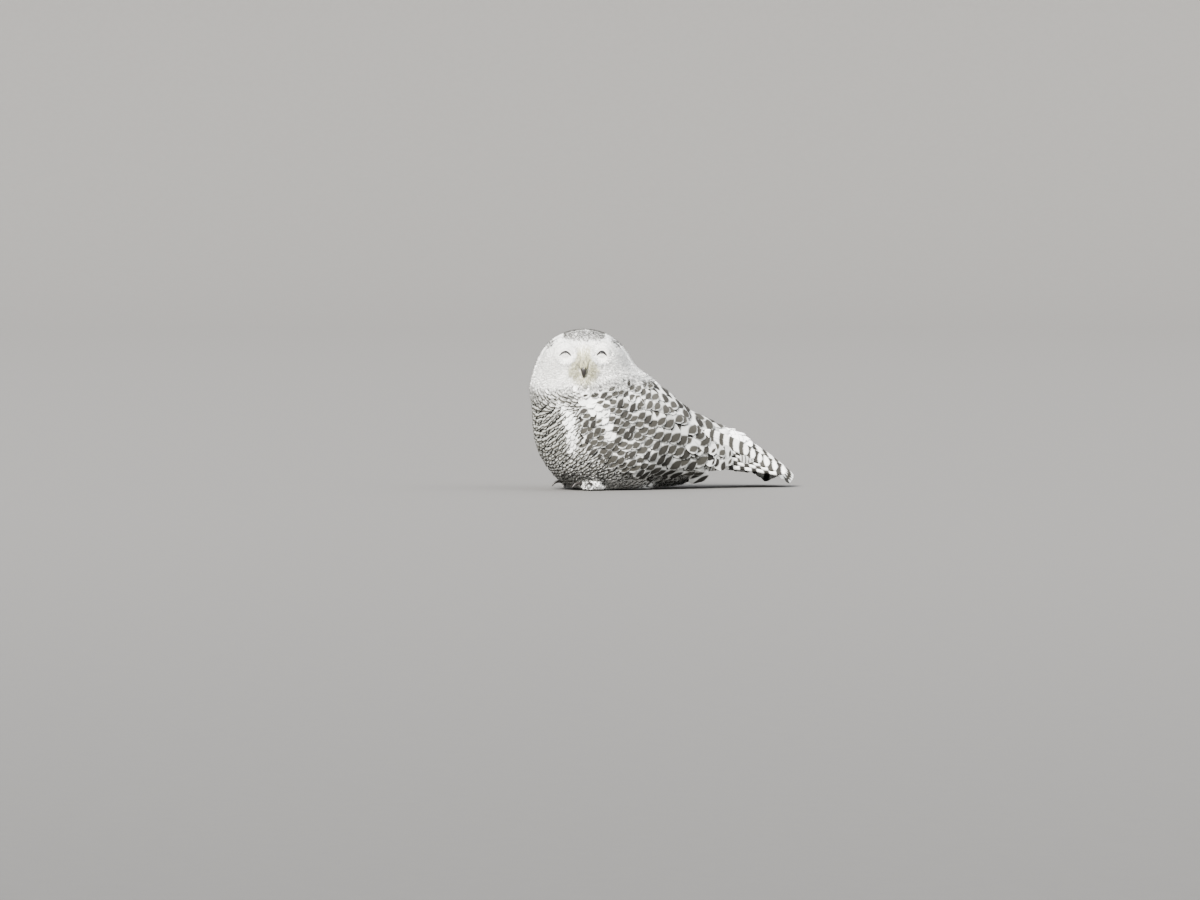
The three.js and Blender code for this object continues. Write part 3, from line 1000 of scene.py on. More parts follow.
BODY_ROWS = (0, 0.3, 0.55, 0.74, 0.88, 0.96, 1)
COVERT_ROWS = (0, 0.22, 0.44, 0.6, 0.74, 0.85, 0.93, 0.98, 1)
VANES = shape_family("body vane", vane, 6, rows=BODY_ROWS, frayed=0.05, camber=0.14)
COVERTS = shape_family("wing covert", vane, 6, rows=COVERT_ROWS, frayed=0.02, camber=0.13)
DOWN = shape_family("down tuft", down_tuft, 6, strands=6, spread=0.55, width=0.12)
BRISTLES = shape_family("bristle", down_tuft, 4, strands=4, spread=0.7, width=0.12)
FLUFF = shape_family("belly fluff", down_tuft, 5, strands=7, spread=0.62, width=0.13)

# %% [markdown]
# ## Laying the coat
#
# Two Geometry Nodes trees do the work for every coat. The first scatters roots over the skin,
# no two closer than a chosen distance. Python then gives each root its direction, size and
# markings. The second tree sets a feather on each root, makes the copies real, and bends each
# one to the skin: a point keeps its height over the feather's root, but measured from the
# nearest skin, so that long feathers wrap round the breast instead of sticking out of it. A
# feather with no cling stays straight, as over the quills, and at the wing's lower edge the
# cling is weak.

# %% The two trees
def new_tree(name, inputs):
    """An empty Geometry Nodes tree with a Geometry input, the named inputs and a Geometry output."""
    tree = bpy.data.node_groups.new(name, "GeometryNodeTree")
    tree.interface.new_socket("Geometry", in_out="INPUT", socket_type="NodeSocketGeometry")
    for label, kind in inputs:
        tree.interface.new_socket(label, in_out="INPUT", socket_type=kind)
    tree.interface.new_socket("Geometry", in_out="OUTPUT", socket_type="NodeSocketGeometry")
    return tree, add_node(tree, "NodeGroupInput"), add_node(tree, "NodeGroupOutput")


def named(tree, name, kind="FLOAT_VECTOR"):
    node = add_node(tree, "GeometryNodeInputNamedAttribute", data_type=kind)
    node.inputs["Name"].default_value = name
    return node.outputs["Attribute"]


def vector_math(tree, operation, *given):
    """One step of arithmetic on vectors. Every value is a socket."""
    node = add_node(tree, "ShaderNodeVectorMath", operation=operation)
    sockets = [node.inputs[0], node.inputs["Scale"]] if operation == "SCALE" else node.inputs
    for socket, source in zip(sockets, given):
        tree.links.new(source, socket)
    return node.outputs["Value" if operation == "DOT_PRODUCT" else "Vector"]


def scatter_tree():
    """Points on a surface, no two closer than Spacing, where its zone attribute allows them."""
    tree, given, result = new_tree("scatter roots", [
        ("Spacing", "NodeSocketFloat"), ("Crowding", "NodeSocketFloat"), ("Seed", "NodeSocketInt"),
    ])
    link = tree.links.new
    spread = add_node(tree, "GeometryNodeDistributePointsOnFaces", distribute_method="POISSON")
    link(given.outputs["Geometry"], spread.inputs["Mesh"])
    link(given.outputs["Spacing"], spread.inputs["Distance Min"])
    link(given.outputs["Crowding"], spread.inputs["Density Max"])
    link(given.outputs["Seed"], spread.inputs["Seed"])
    link(named(tree, "zone", "FLOAT"), spread.inputs["Density Factor"])
    keep = add_node(tree, "GeometryNodeStoreNamedAttribute", data_type="FLOAT_VECTOR", domain="POINT")
    keep.inputs["Name"].default_value = "up"
    link(spread.outputs["Points"], keep.inputs["Geometry"])
    link(spread.outputs["Normal"], keep.inputs["Value"])
    solid = add_node(tree, "GeometryNodePointsToVertices")
    link(keep.outputs["Geometry"], solid.inputs["Points"])
    link(solid.outputs["Mesh"], result.inputs["Geometry"])
    return tree


def laying_tree():
    """A feather on every point, turned, sized and bent as the point's attributes say."""
    tree, given, result = new_tree("lay feathers", [
        ("Shapes", "NodeSocketCollection"), ("Skin", "NodeSocketObject"), ("Finish", "NodeSocketMaterial"),
    ])
    link = tree.links.new
    turn = add_node(tree, "FunctionNodeAxesToRotation", primary_axis="Z", secondary_axis="Y")
    link(named(tree, "up"), turn.inputs["Primary Axis"])
    link(named(tree, "lie"), turn.inputs["Secondary Axis"])
    shapes = add_node(tree, "GeometryNodeCollectionInfo")
    shapes.inputs["Separate Children"].default_value = True
    shapes.inputs["Reset Children"].default_value = True
    link(given.outputs["Shapes"], shapes.inputs["Collection"])
    set_on = add_node(tree, "GeometryNodeInstanceOnPoints")
    set_on.inputs["Pick Instance"].default_value = True
    link(given.outputs["Geometry"], set_on.inputs["Points"])
    link(shapes.outputs["Instances"], set_on.inputs["Instance"])
    link(named(tree, "variant", "INT"), set_on.inputs["Instance Index"])
    link(turn.outputs["Rotation"], set_on.inputs["Rotation"])
    link(named(tree, "size"), set_on.inputs["Scale"])
    real = add_node(tree, "GeometryNodeRealizeInstances")
    link(set_on.outputs["Instances"], real.inputs["Geometry"])

    root, up = named(tree, "root"), named(tree, "up")
    place = add_node(tree, "GeometryNodeInputPosition").outputs["Position"]
    rise = vector_math(tree, "DOT_PRODUCT", vector_math(tree, "SUBTRACT", place, root), up)
    flat = vector_math(tree, "SUBTRACT", place, vector_math(tree, "SCALE", up, rise))
    body = add_node(tree, "GeometryNodeObjectInfo")
    link(given.outputs["Skin"], body.inputs["Object"])
    near = add_node(tree, "GeometryNodeProximity", target_element="FACES")
    link(body.outputs["Geometry"], near.inputs[0])
    link(flat, near.inputs["Sample Position"])
    normal = add_node(tree, "GeometryNodeSampleNearestSurface", data_type="FLOAT_VECTOR")
    link(body.outputs["Geometry"], normal.inputs["Mesh"])
    link(add_node(tree, "GeometryNodeInputNormal").outputs["Normal"], normal.inputs["Value"])
    link(flat, normal.inputs["Sample Position"])
    lifted = vector_math(tree, "SCALE", normal.outputs["Value"], rise)
    bend = add_node(tree, "GeometryNodeSetPosition")
    link(real.outputs["Geometry"], bend.inputs["Geometry"])
    cling = add_node(tree, "ShaderNodeMix", data_type="VECTOR")
    link(named(tree, "cling", "FLOAT"), cling.inputs[0])
    link(place, cling.inputs[4])
    link(vector_math(tree, "ADD", near.outputs["Position"], lifted), cling.inputs[5])
    link(cling.outputs[1], bend.inputs["Position"])
    paint = add_node(tree, "GeometryNodeSetMaterial")
    link(bend.outputs["Geometry"], paint.inputs["Geometry"])
    link(given.outputs["Finish"], paint.inputs["Material"])
    link(paint.outputs["Geometry"], result.inputs["Geometry"])
    return tree


def run_tree(made, tree, **given):
    """Runs a tree on an object with inputs set by name, and leaves a plain mesh."""
    modifier = made.modifiers.new("nodes", "NODES")
    modifier.node_group = tree
    for item in tree.interface.items_tree:
        if item.in_out == "INPUT" and item.name in given:
            modifier[item.identifier] = given[item.name]
    return settle(made)


SCATTER = scatter_tree()
LAY = laying_tree()
print(f"trees: {SCATTER.name} has {len(SCATTER.nodes)} nodes and {LAY.name} has {len(LAY.nodes)}")


# %% Roots on the skin
FULL_CROWDING = 3.0  # roots tried in each square of the spacing, before the close ones go
LOWEST = 0.0003  # no feather comes closer to the ground, metres
GROUND_SOFTNESS = 0.004  # feathers below this height are pressed flat, metres


def scatter(surface_object, surface, zone, spacing, seed):
    """Places and normals of roots at least spacing millimetres apart, where zone is 1."""
    mesh = surface_object.data.copy()
    made = bpy.data.objects.new("roots", mesh)
    bpy.context.scene.collection.objects.link(made)
    write_numbers(mesh, "zone", zone)
    gap = spacing * MM
    run_tree(made, SCATTER, Spacing=gap, Crowding=FULL_CROWDING / gap**2, Seed=seed)
    roots = places(made.data)
    bpy.data.objects.remove(made)
    normals = np.empty_like(roots)
    for i, root in enumerate(roots):
        _, _, face, _ = surface.tree.find_nearest(Vector(root))
        normals[i] = surface.smooth_normal(root, face)
    return roots, normals


def turned_about(vectors, axes, angles):
    """Vectors turned about axes at right angles to them."""
    return vectors * np.cos(angles)[:, None] + np.cross(axes, vectors) * np.sin(angles)[:, None]


def lay(name, roots, normals, lies, width, length, lift, shapes, finish, chart, patch, seed,
        twist=7.0, bars=None, grey_and_painted_shade=None, warm=0.0, on=None, cling=1.0):
    """One coat piece: a feather on every root. Sizes are in mm, and twist in degrees. patch is
    the share of the chart that one feather takes. bars, warm, cling and the ground's greying,
    which is mostly painted shade, are numbers for the whole coat or for each feather, and
    without bars and greying the markings decide."""
    dice = np.random.default_rng(seed)
    count = len(roots)
    every = np.ones(count)
    marks = markings(roots)
    values = {
        "bars": marks[0] if bars is None else every * bars,
        "grey_and_painted_shade": marks[1] if grey_and_painted_shade is None else every * grey_and_painted_shade,
        "warm": every * warm,
        "chance": dice.uniform(0, 1, count),
        "cling": every * cling,
    }
    spin = np.radians(dice.normal(0, twist, count))
    vary = dice.uniform(0.88, 1.12, (count, 3))
    vectors = {
        "root": roots,
        "up": normals,
        "lie": turned_about(lies, normals, spin),
        "size": np.stack([width * every, length * every, lift * every], 1) * vary * MM,
    }
    mesh = bpy.data.meshes.new(name)
    mesh.vertices.add(count)
    mesh.vertices.foreach_set("co", roots.astype(np.float32).ravel())
    for key, value in values.items():
        write_numbers(mesh, key, value)
    for key, value in vectors.items():
        write_vectors(mesh, key, value)
    variant = dice.integers(0, len(shapes.objects), count).astype(np.int32)
    mesh.attributes.new("variant", "INT", "POINT").data.foreach_set("value", variant)
    made = bpy.data.objects.new(name, mesh)
    bpy.context.scene.collection.objects.link(made)
    run_tree(made, LAY, Shapes=shapes, Skin=on or skin, Finish=finish)
    finish_coat(made, chart, patch)
    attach(made, "root")
    print(f"{name}: {count} feathers, {sum(len(f.vertices) - 2 for f in made.data.polygons)} triangles")
    return made


def finish_coat(made, chart, patch):
    """Keeps the coat above the ground, and gives each feather its patch of the coat's chart."""
    mesh = made.data
    points = places(mesh)
    height = points[:, 2]
    pressed = np.exp((height - GROUND_SOFTNESS) / GROUND_SOFTNESS)
    pressed = LOWEST + (GROUND_SOFTNESS - LOWEST) * pressed
    points[:, 2] = np.where(height < GROUND_SOFTNESS, pressed, height)
    move_vertices(mesh, points)
    root = np.empty(len(mesh.vertices) * 3, np.float32)
    mesh.attributes["root"].data.foreach_get("vector", root)
    spot = chart(root.reshape(-1, 3).astype(float))
    own = np.empty(len(mesh.loops) * 2, np.float32)
    mesh.uv_layers["vane"].data.foreach_get("uv", own)
    layer = mesh.uv_layers.new(name="OFBake", do_init=False)
    spots = spot[corner_vertices(mesh)] + (own.reshape(-1, 2) - 0.5) * patch
    layer.data.foreach_set("uv", spots.astype(np.float32).ravel())
    for spare in ("root", "up", "lie", "size", "variant", "cling"):
        if spare in mesh.attributes:
            mesh.attributes.remove(mesh.attributes[spare])


# %% [markdown]
# ### Charts for the coats
#
# A baked coat needs a flat chart, on which every feather's patch lies at the place of its root.
# The head is unrolled like a map of the earth seen from above the pole, with the face in the
# middle. The body is unrolled like a paper tube cut along the belly, and one side of the wings
# and the back is laid flat.

# %% Unrolling the head and the body
HEAD_HEART = from_head(0, 5, 205)
TUBE_START, TUBE_END = -10.0, 420.0  # along the body, mm
CHART_EDGE = 0.02
SIDE_START, SIDE_FOOT = 20.0, -40.0  # where a side's chart begins, along the body and below it
SIDE_SPAN = 400.0  # how much of the body it holds each way, mm


def head_chart(points):
    """Round the face: the place on the chart says how far from straight ahead, and which way."""
    out = unit(points - HEAD_HEART)
    turn = np.arccos(np.clip(out @ HEAD_AHEAD, -1, 1)) / math.pi
    x, z = out @ HEAD_LEFT, out[:, 2]
    ring = np.hypot(x, z) + 1e-9
    return 0.5 + (0.5 - CHART_EDGE) * np.stack([turn * x / ring, turn * z / ring], 1)


def body_chart(points):
    """Across: the turn round the body from the belly. Up: how far back."""
    _, back, height = on_body(points)
    heart = 105 - 0.2 * (back - 100)
    turn = np.arctan2(points[:, 0] / MM, height - heart) / (2 * math.pi) + 0.5
    along = (back - TUBE_START) / (TUBE_END - TUBE_START)
    return CHART_EDGE + (1 - 2 * CHART_EDGE) * np.stack([turn, np.clip(along, 0, 1)], 1)


def side_chart(points):
    """For one side of the body, laid flat."""
    _, back, height = on_body(points)
    spot = np.stack([(back - SIDE_START) / SIDE_SPAN, (height - SIDE_FOOT) / SIDE_SPAN], 1)
    return CHART_EDGE + (1 - 2 * CHART_EDGE) * spot


used = body_chart(skin_surface.points)
print("the body's chart is used from", used.min(0).round(2), "to", used.max(0).round(2))

# %% [markdown]
# ## Finishes for the feathers
#
# A feather's own map says how far across and along the vane a point is, and that is all a bar
# needs: bars are bands along the vane, bowed towards the root at the edges, with rough sides.
# Fine slanting barbs and the quill down the middle are bump. Both effects are node groups, so
# that down, body feathers and quills can share them with values of their own.

# %% Shared effects
def group_tree(name, inputs, outputs):
    """An empty shader group with named inputs, each with its usual value, and outputs."""
    tree = bpy.data.node_groups.new(name, "ShaderNodeTree")
    for label, value in inputs:
        socket = tree.interface.new_socket(label, in_out="INPUT", socket_type="NodeSocketFloat")
        socket.default_value = value
    for label in outputs:
        tree.interface.new_socket(label, in_out="OUTPUT", socket_type="NodeSocketFloat")
    return tree, add_node(tree, "NodeGroupInput"), add_node(tree, "NodeGroupOutput")


def attribute(tree, name):
    return add_node(tree, "ShaderNodeAttribute", attribute_name=name).outputs["Fac"]


def vane_place(tree):
    """How far a point is across its feather, from -1 to 1, and along it, from 0 to 1."""
    node = add_node(tree, "ShaderNodeSeparateXYZ")
    tree.links.new(add_node(tree, "ShaderNodeUVMap", uv_map="vane").outputs["UV"], node.inputs[0])
    return sums(tree, "MULTIPLY_ADD", node.outputs["X"], 2, -1), node.outputs["Y"]


def soft_step(tree, value, low, high):
    node = add_node(tree, "ShaderNodeMapRange", interpolation_type="SMOOTHSTEP")
    for socket, given in zip(("Value", "From Min", "From Max"), (value, low, high)):
        if isinstance(given, bpy.types.NodeSocket):
            tree.links.new(given, node.inputs[socket])
        else:
            node.inputs[socket].default_value = given
    return node.outputs["Result"]


def bar_group():
    """A mask of bars. The last one lies at Place along the vane and the others Spacing apart
    towards the root. Bow bends them, Lean and Drift differ from feather to feather, Roughness
    frays them, and Taper thins them towards the sides."""
    tree, given, result = group_tree("vane bars", [
        ("Place", 0.8), ("Spacing", 0.3), ("Thickness", 0.12), ("Bow", 0.12), ("Lean", 0.1),
        ("Roughness", 0.05), ("Drift", 0.08), ("Taper", 0.0),
    ], ["Mask"])
    value = given.outputs
    across, along = vane_place(tree)
    squared = sums(tree, "MULTIPLY", across, across)
    chance = sums(tree, "SUBTRACT", attribute(tree, "chance"), 0.5)
    rough = sums(tree, "SUBTRACT", noise(tree, object_coordinates(tree), 700.0, 2.0), 0.5)
    bowed = sums(tree, "MULTIPLY", squared, value["Bow"])
    leaning = sums(tree, "MULTIPLY", sums(tree, "MULTIPLY", across, chance), value["Lean"])
    ragged = sums(tree, "MULTIPLY", rough, value["Roughness"])
    shifted = sums(tree, "MULTIPLY_ADD", chance, value["Drift"], along)
    place = sums(tree, "ADD", sums(tree, "ADD", shifted, bowed), sums(tree, "ADD", leaning, ragged))
    count = sums(tree, "DIVIDE", sums(tree, "SUBTRACT", value["Place"], place), value["Spacing"])
    nearest = sums(tree, "SUBTRACT", sums(tree, "FRACT", sums(tree, "ADD", count, 0.5)), 0.5)
    gap = sums(tree, "MULTIPLY", sums(tree, "ABSOLUTE", nearest), value["Spacing"])
    gap = sums(tree, "MULTIPLY_ADD", squared, value["Taper"], gap)
    strength = attribute(tree, "bars")
    half = sums(tree, "MULTIPLY", sums(tree, "MULTIPLY", value["Thickness"], 0.5), strength)
    inside = soft_step(tree, gap, sums(tree, "MULTIPLY", half, 1.3), sums(tree, "MULTIPLY", half, 0.7))
    not_past = sums(tree, "GREATER_THAN", count, -0.5)
    shown = sums(tree, "MULTIPLY", soft_step(tree, strength, 0.05, 0.35), not_past)
    tree.links.new(sums(tree, "MULTIPLY", inside, shown), result.inputs["Mask"])
    return tree


def barb_group():
    """Relief: so many Barbs along the vane, slanting from a quill of some share of the width."""
    inputs = [("Barbs", 40.0), ("Slant", 0.35), ("Quill", 0.07)]
    tree, given, result = group_tree("barbs and quill", inputs, ["Height"])
    across, along = vane_place(tree)
    side = sums(tree, "ABSOLUTE", across)
    slanted = sums(tree, "SUBTRACT", along, sums(tree, "MULTIPLY", side, given.outputs["Slant"]))
    lines = sums(tree, "MULTIPLY", slanted, given.outputs["Barbs"])
    comb = sums(tree, "MULTIPLY", sums(tree, "SINE", sums(tree, "MULTIPLY", lines, 2 * math.pi)), 0.2)
    ridge = soft_step(tree, side, given.outputs["Quill"], 0.0)
    tree.links.new(sums(tree, "ADD", comb, ridge), result.inputs["Height"])
    return tree


BARS = bar_group()
BARBS = barb_group()
print(f"groups: {BARS.name} has {len(BARS.nodes)} nodes and {BARBS.name} has {len(BARBS.nodes)}")


# %% Feather finishes
BARB_DEPTH = 0.0003  # metres
FEATHER_GLOSS = 0.10
WHITE = (0.92, 0.92, 0.90)
# SHADE is the colour that the ground greys towards, mostly as painted shade, and the colour that painted
# shade darkens covered feather roots to.
SHADE = (0.21, 0.215, 0.20)
CREAM = (0.52, 0.50, 0.34)
DARK = (0.016, 0.015, 0.013)
DARK_WORN = (0.040, 0.038, 0.032)


def use_group(tree, group, **values):
    node = add_node(tree, "ShaderNodeGroup", node_tree=group)
    for label, value in values.items():
        node.inputs[label].default_value = value
    return node.outputs[0]


def feather_finish(name, bar_values, barb_values, bump, roughness, depth):
    """A pale feather with dark bars, as thick as its bars attribute says, on a ground that greys
    towards SHADE. depth is how much painted shade darkens the covered root end, where the
    feathers over it would shade it."""
    material, tree, shader = new_material(name)
    _, along = vane_place(tree)
    chance = attribute(tree, "chance")
    # The ground greys towards SHADE: painted shade on the body, and the crown cap's own grey.
    ground = mixed(tree, attribute(tree, "grey_and_painted_shade"), WHITE, SHADE)
    ground = mixed(tree, attribute(tree, "warm"), ground, CREAM)
    # Painted shade: the covered root end of each feather darkens, as if the feathers over it shaded it.
    painted_root_shade = sums(tree, "MULTIPLY", soft_step(tree, along, 0.55, 0.05), depth)
    ground = mixed(tree, painted_root_shade, ground, SHADE)
    mask = use_group(tree, BARS, **bar_values)
    ink = mixed(tree, chance, DARK, DARK_WORN)
    tree.links.new(mixed(tree, mask, ground, ink), shader.inputs["Base Color"])
    shader.inputs["Roughness"].default_value = roughness
    shader.inputs["Specular IOR Level"].default_value = FEATHER_GLOSS
    if bump:
        add_relief(tree, shader, use_group(tree, BARBS, **barb_values), bump, BARB_DEPTH)
    return material


# Bars of down have no second one: their spacing is more than a tuft's length.
DOWN_BARS = {"Place": 0.72, "Spacing": 5.0, "Thickness": 0.46, "Bow": 0.0}
BREAST_BARS = {
    "Place": 0.82, "Spacing": 0.37, "Thickness": 0.185, "Bow": 0.06, "Lean": 0.10, "Drift": 0.05,
}
COVERT_BARS = {
    "Place": 0.80, "Spacing": 0.46, "Thickness": 0.34, "Bow": 0.0, "Lean": 0.18, "Drift": 0.06,
    "Taper": 0.21,
}
# depth is the painted shade on each feather's covered root end.
DOWN_FINISH = feather_finish("white down", DOWN_BARS, {}, bump=0.0, roughness=0.85, depth=0.1)
BREAST_FINISH = feather_finish(
    "breast feather", BREAST_BARS, {"Barbs": 26.0}, bump=0.3, roughness=0.75, depth=0.15)
COVERT_FINISH = feather_finish(
    "wing covert", COVERT_BARS, {"Barbs": 34.0}, bump=0.35, roughness=0.65, depth=0.15)
print("finishes:", [finish.name for finish in (DOWN_FINISH, BREAST_FINISH, COVERT_FINISH)])


# %% [markdown]
# ### The finish of the skin
#
# Skin shows only between tufts, as on the feet. It is pale and slightly rough, with dark bands
# where the coat over it is barred. One wave texture is enough for that, because no single
# feather can be told apart there.

# %% Skin finish
SKIN_PALE = (0.70, 0.69, 0.66)


def skin_finish():
    """Pale skin, with dark bands across the body as strong as its bars attribute says."""
    material, tree, shader = new_material("skin")
    coordinates = object_coordinates(tree)
    bands = add_node(tree, "ShaderNodeTexWave", wave_type="BANDS", bands_direction="Y")
    bands.inputs["Scale"].default_value = 45.0
    bands.inputs["Distortion"].default_value = 6.0
    bands.inputs["Detail"].default_value = 2.0
    tree.links.new(coordinates, bands.inputs["Vector"])
    band = soft_step(tree, bands.outputs["Fac"], 0.62, 0.8)
    mask = sums(tree, "MULTIPLY", band, attribute(tree, "bars"), clamp=True)
    # The ground greys towards SHADE as the coat's does, mostly as painted shade.
    ground = mixed(tree, attribute(tree, "grey_and_painted_shade"), SKIN_PALE, SHADE)
    tree.links.new(mixed(tree, mask, ground, DARK_WORN), shader.inputs["Base Color"])
    shader.inputs["Roughness"].default_value = 0.8
    add_relief(tree, shader, noise(tree, coordinates, 600.0), 0.4, 0.0006)
    return material


SKIN_FINISH = skin_finish()
CAP_BARS = 0.8  # how strong the bands are on the crown's cap
CAP_GREY = 0.45  # and how grey the ground is there


def crown_cap(roots):
    """1 on the cap of the crown, where the flecks are."""
    left, ahead, height = on_head(roots).T
    cap = smooth(246, 253, height - 0.05 * np.abs(left)) * (1 - smooth(29, 36, np.abs(left)))
    return cap * smooth(-30, 10, ahead)


def mark_surface(made):
    """Gives a bare surface the bars and the ground of the coat over it."""
    points = places(made.data)
    bars, grey_and_painted_shade = markings(points)
    cap = crown_cap(points)
    write_numbers(made.data, "bars", np.maximum(bars, CAP_BARS * cap))
    write_numbers(made.data, "grey_and_painted_shade", np.maximum(grey_and_painted_shade, CAP_GREY * cap))
    made.data.materials.clear()
    made.data.materials.append(SKIN_FINISH)
    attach(made, "root")


mark_surface(skin)
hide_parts(*FLESH)
for side in lids:
    mark_surface(lids[side])
print(f"skin finish: on the skin and {len(lids)} pairs of lids")

# %% [markdown]
# ### The bare edge of a lid
#
# An owl's lids end in a bare black edge, a little glossy, like wet leather. A dark colour with a
# fine grain and a medium roughness is enough for so thin a line.

# %% Bare black edges of the lids
rim_finish, tree, shader = new_material("black lid edge")
grain = noise(tree, object_coordinates(tree), 1500.0, 3.0)
tree.links.new(mixed(tree, grain, (0.006, 0.005, 0.005), (0.02, 0.017, 0.015)), shader.inputs["Base Color"])
shader.inputs["Roughness"].default_value = 0.45
for side, rim in lid_rims.items():
    rim.data.materials.append(rim_finish)
    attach(rim, "root")
print(f"black edges: {len(lid_rims)}, {RIM_RADIUS * 2:.1f} mm thick")

# %% [markdown]
# ## The coat of the head
#
# The face, crown and nape are covered by short soft tufts. The face and the crown are laid as
# separate pieces, because the face needs finer and closer ones. The crown has flecks: nine in
# ten of the tufts on its cap carry one dark dash, and on the temples and the nape they thin
# out. Where the coat of the head ends, its tufts grow longer and hang over the seam.

# %% Zones of the head
LID_COAT_REACH = 15.5  # radius round an eye that the lids' own tufts cover
points = skin_surface.points
left, ahead, height = on_head(points).T
_, back, _ = on_body(points)


def neck_line(back):
    """The height where the coat of the head ends and the coat of the body begins."""
    return bib_line(back) + 3


of_head = smooth(-14, 0, height - neck_line(back))
from_eye = [np.hypot(left - eye[0], height - eye[2]) for eye in EYE_PLACES.values()]
clear_of_lids = (np.min(from_eye, 0) > LID_COAT_REACH) | (ahead < 30)
is_face = smooth(14, 20, ahead)
face_zone = of_head * is_face * clear_of_lids
crown_zone = of_head * (1 - is_face) * clear_of_lids
print(f"face {int((face_zone > 0.5).sum())} and crown {int((crown_zone > 0.5).sum())} skin points")


# %% Flecks of the crown
def crown_flecks(roots, dice):
    """The strength of each tuft's dash: 0 on most, and likely on the cap, temples and nape."""
    left, ahead, height = on_head(roots).T
    temples = near_line(np.abs(left), height, (50, 251), (58, 246), 8, 6) * (ahead > 0)
    nape = smooth(30, -10, ahead) * (1 - smooth(26, 46, np.abs(left))) * smooth(188, 214, height)
    share = np.clip(0.9 * crown_cap(roots) + 0.6 * temples + 0.34 * nape, 0, 1)
    return (dice.uniform(0, 1, len(roots)) < share) * dice.uniform(0.8, 1.5, len(roots))


def over_the_seam(roots):
    """1 close above the line where the body's coat begins, where the tufts hang over it."""
    _, back, height = on_body(roots)
    return 1 - smooth(2, 24, height - neck_line(back))


print(f"the crown's cap covers {100 * crown_cap(skin_surface.points).mean():.1f} per cent of the skin")


# %% Face and crown
dice = np.random.default_rng(11)
roots, normals = scatter(skin, skin_surface, face_zone, 2.25, 1)
left, _, height = on_head(roots).T
seam = over_the_seam(roots)
size = 6.5 + 3.0 * smooth(25, 60, np.hypot(left, height - 215)) + 6 * seam
warm = near_line(left, height, (0, 218), (0, 202), 24, 22)
grey_and_painted_shade = 0.10 * (1 - smooth(15, 40, np.hypot(np.abs(left) - 30, height - 222))) + 0.45 * crown_cap(roots)
lay("coat_face", roots, normals, lie_of(roots, normals), 2.4 + 0.10 * size, size, 2.9 + 3.0 * seam, DOWN,
    DOWN_FINISH, head_chart, 0.004, 21, bars=crown_flecks(roots, dice), grey_and_painted_shade=grey_and_painted_shade, warm=0.85 * warm)

roots, normals = scatter(skin, skin_surface, crown_zone, 2.9, 2)
seam = over_the_seam(roots)
lay("coat_crown", roots, normals, lie_of(roots, normals), 3.6, 10 + 5 * seam, 4.8 + 1.8 * seam, DOWN,
    DOWN_FINISH, head_chart, 0.004, 22, bars=crown_flecks(roots, dice), grey_and_painted_shade=0.6 * crown_cap(roots))

# %% [markdown]
# ### Tufts on the lids
#
# The lids carry the smallest tufts on the bird. They point away from the eye like rays and
# leave the bare edge free: no root is scattered where the lid is close to the slit.

# %% Coat of the lids
for side in EYES:
    surface = lid_surfaces[side]
    base = EYE_PLACES[side]
    flat = on_head(surface.points)
    x, z = (flat[:, 0] - base[0]) * SIGN[side], flat[:, 2] - base[2]
    turns = np.linspace(0, 2 * math.pi, 90)
    edge = np.stack(slit_edge(side, turns), 1)
    from_slit = np.min(np.hypot(x[:, None] - edge[:, 0], z[:, None] - edge[:, 1]), 1)
    zone = smooth(1.0, 1.6, from_slit)
    roots, normals = scatter(lids[side], surface, zone, 2.0, 5)
    flat = on_head(roots)
    away = (flat[:, [0]] - base[0]) * HEAD_LEFT + (flat[:, [2]] - base[2]) * UP + 1e-6
    radius = np.hypot(flat[:, 0] - base[0], flat[:, 2] - base[2])
    outer = smooth(7, 14, radius)
    lay(f"coat_lids_{side}", roots, normals, tangent(away, normals), 1.6 + 1.2 * outer, 3.6 + 3.2 * outer,
        1.1 + 1.9 * outer, DOWN, DOWN_FINISH, head_chart, 0.0035, 23, bars=0, grey_and_painted_shade=0.12, on=lids[side])

# %% [markdown]
# ## Rows on the wings and the back
#
# From the shoulder back, an owl's feathers stand in neat staggered rows like roof tiles. The
# rows start on the ridge of the back and run down each side, the feathers point back and down
# across them, and both grow towards the tail. Random roots would lose that order. So rays
# towards the heart of the body measure its surface by two numbers, how far back a place is and
# how far down it is from the ridge of the back, and the rows are ruled on that grid.

# %% Cuts across the body
TURNS = np.radians(np.arange(0, 134, 2.0))
TO_LEFT = np.array([1.0, 0, 0])
FAR_OUT = 0.3  # metres from the heart of the body, where the rays start
LEAST_FACING = 0.2  # the cosine between the ray and the way that an outer face looks


def cut(heart, start, side):
    """The outline of the body in the plane of start and its left, from start down one side.

    Gives how far each place is along the outline, in mm, and its place and normal."""
    found = []
    for turn in TURNS:
        outwards = math.cos(turn) * start + math.sin(turn) * side * TO_LEFT
        hit = skin_surface.hit(heart + FAR_OUT * outwards, -outwards)
        if hit is not None and hit[1] @ outwards > LEAST_FACING and (hit[0] - heart) @ outwards > 0:
            found.append(np.concatenate([hit[0], hit[1]]))
    if len(found) < 4:
        return np.zeros(1), np.zeros((0, 6))
    found = np.array(found)
    steps = np.linalg.norm(np.diff(found[:, :3], axis=0), axis=1)
    return np.concatenate([[0], np.cumsum(steps)]) / MM, found


def along_cut(outline, stops):
    """Places and normals at these distances along an outline."""
    run, found = outline
    if len(found) == 0:
        return np.zeros((0, 6))
    stops = stops[stops < run[-1]]
    return np.stack([np.interp(stops, run, found[:, k]) for k in range(6)], 1)


# %% A grid over one side of the wings and the back
GRID_BACK = np.arange(24.0, 332.0, 4.0)
GRID_UP = np.array([0.0, 0.24, 0.97])
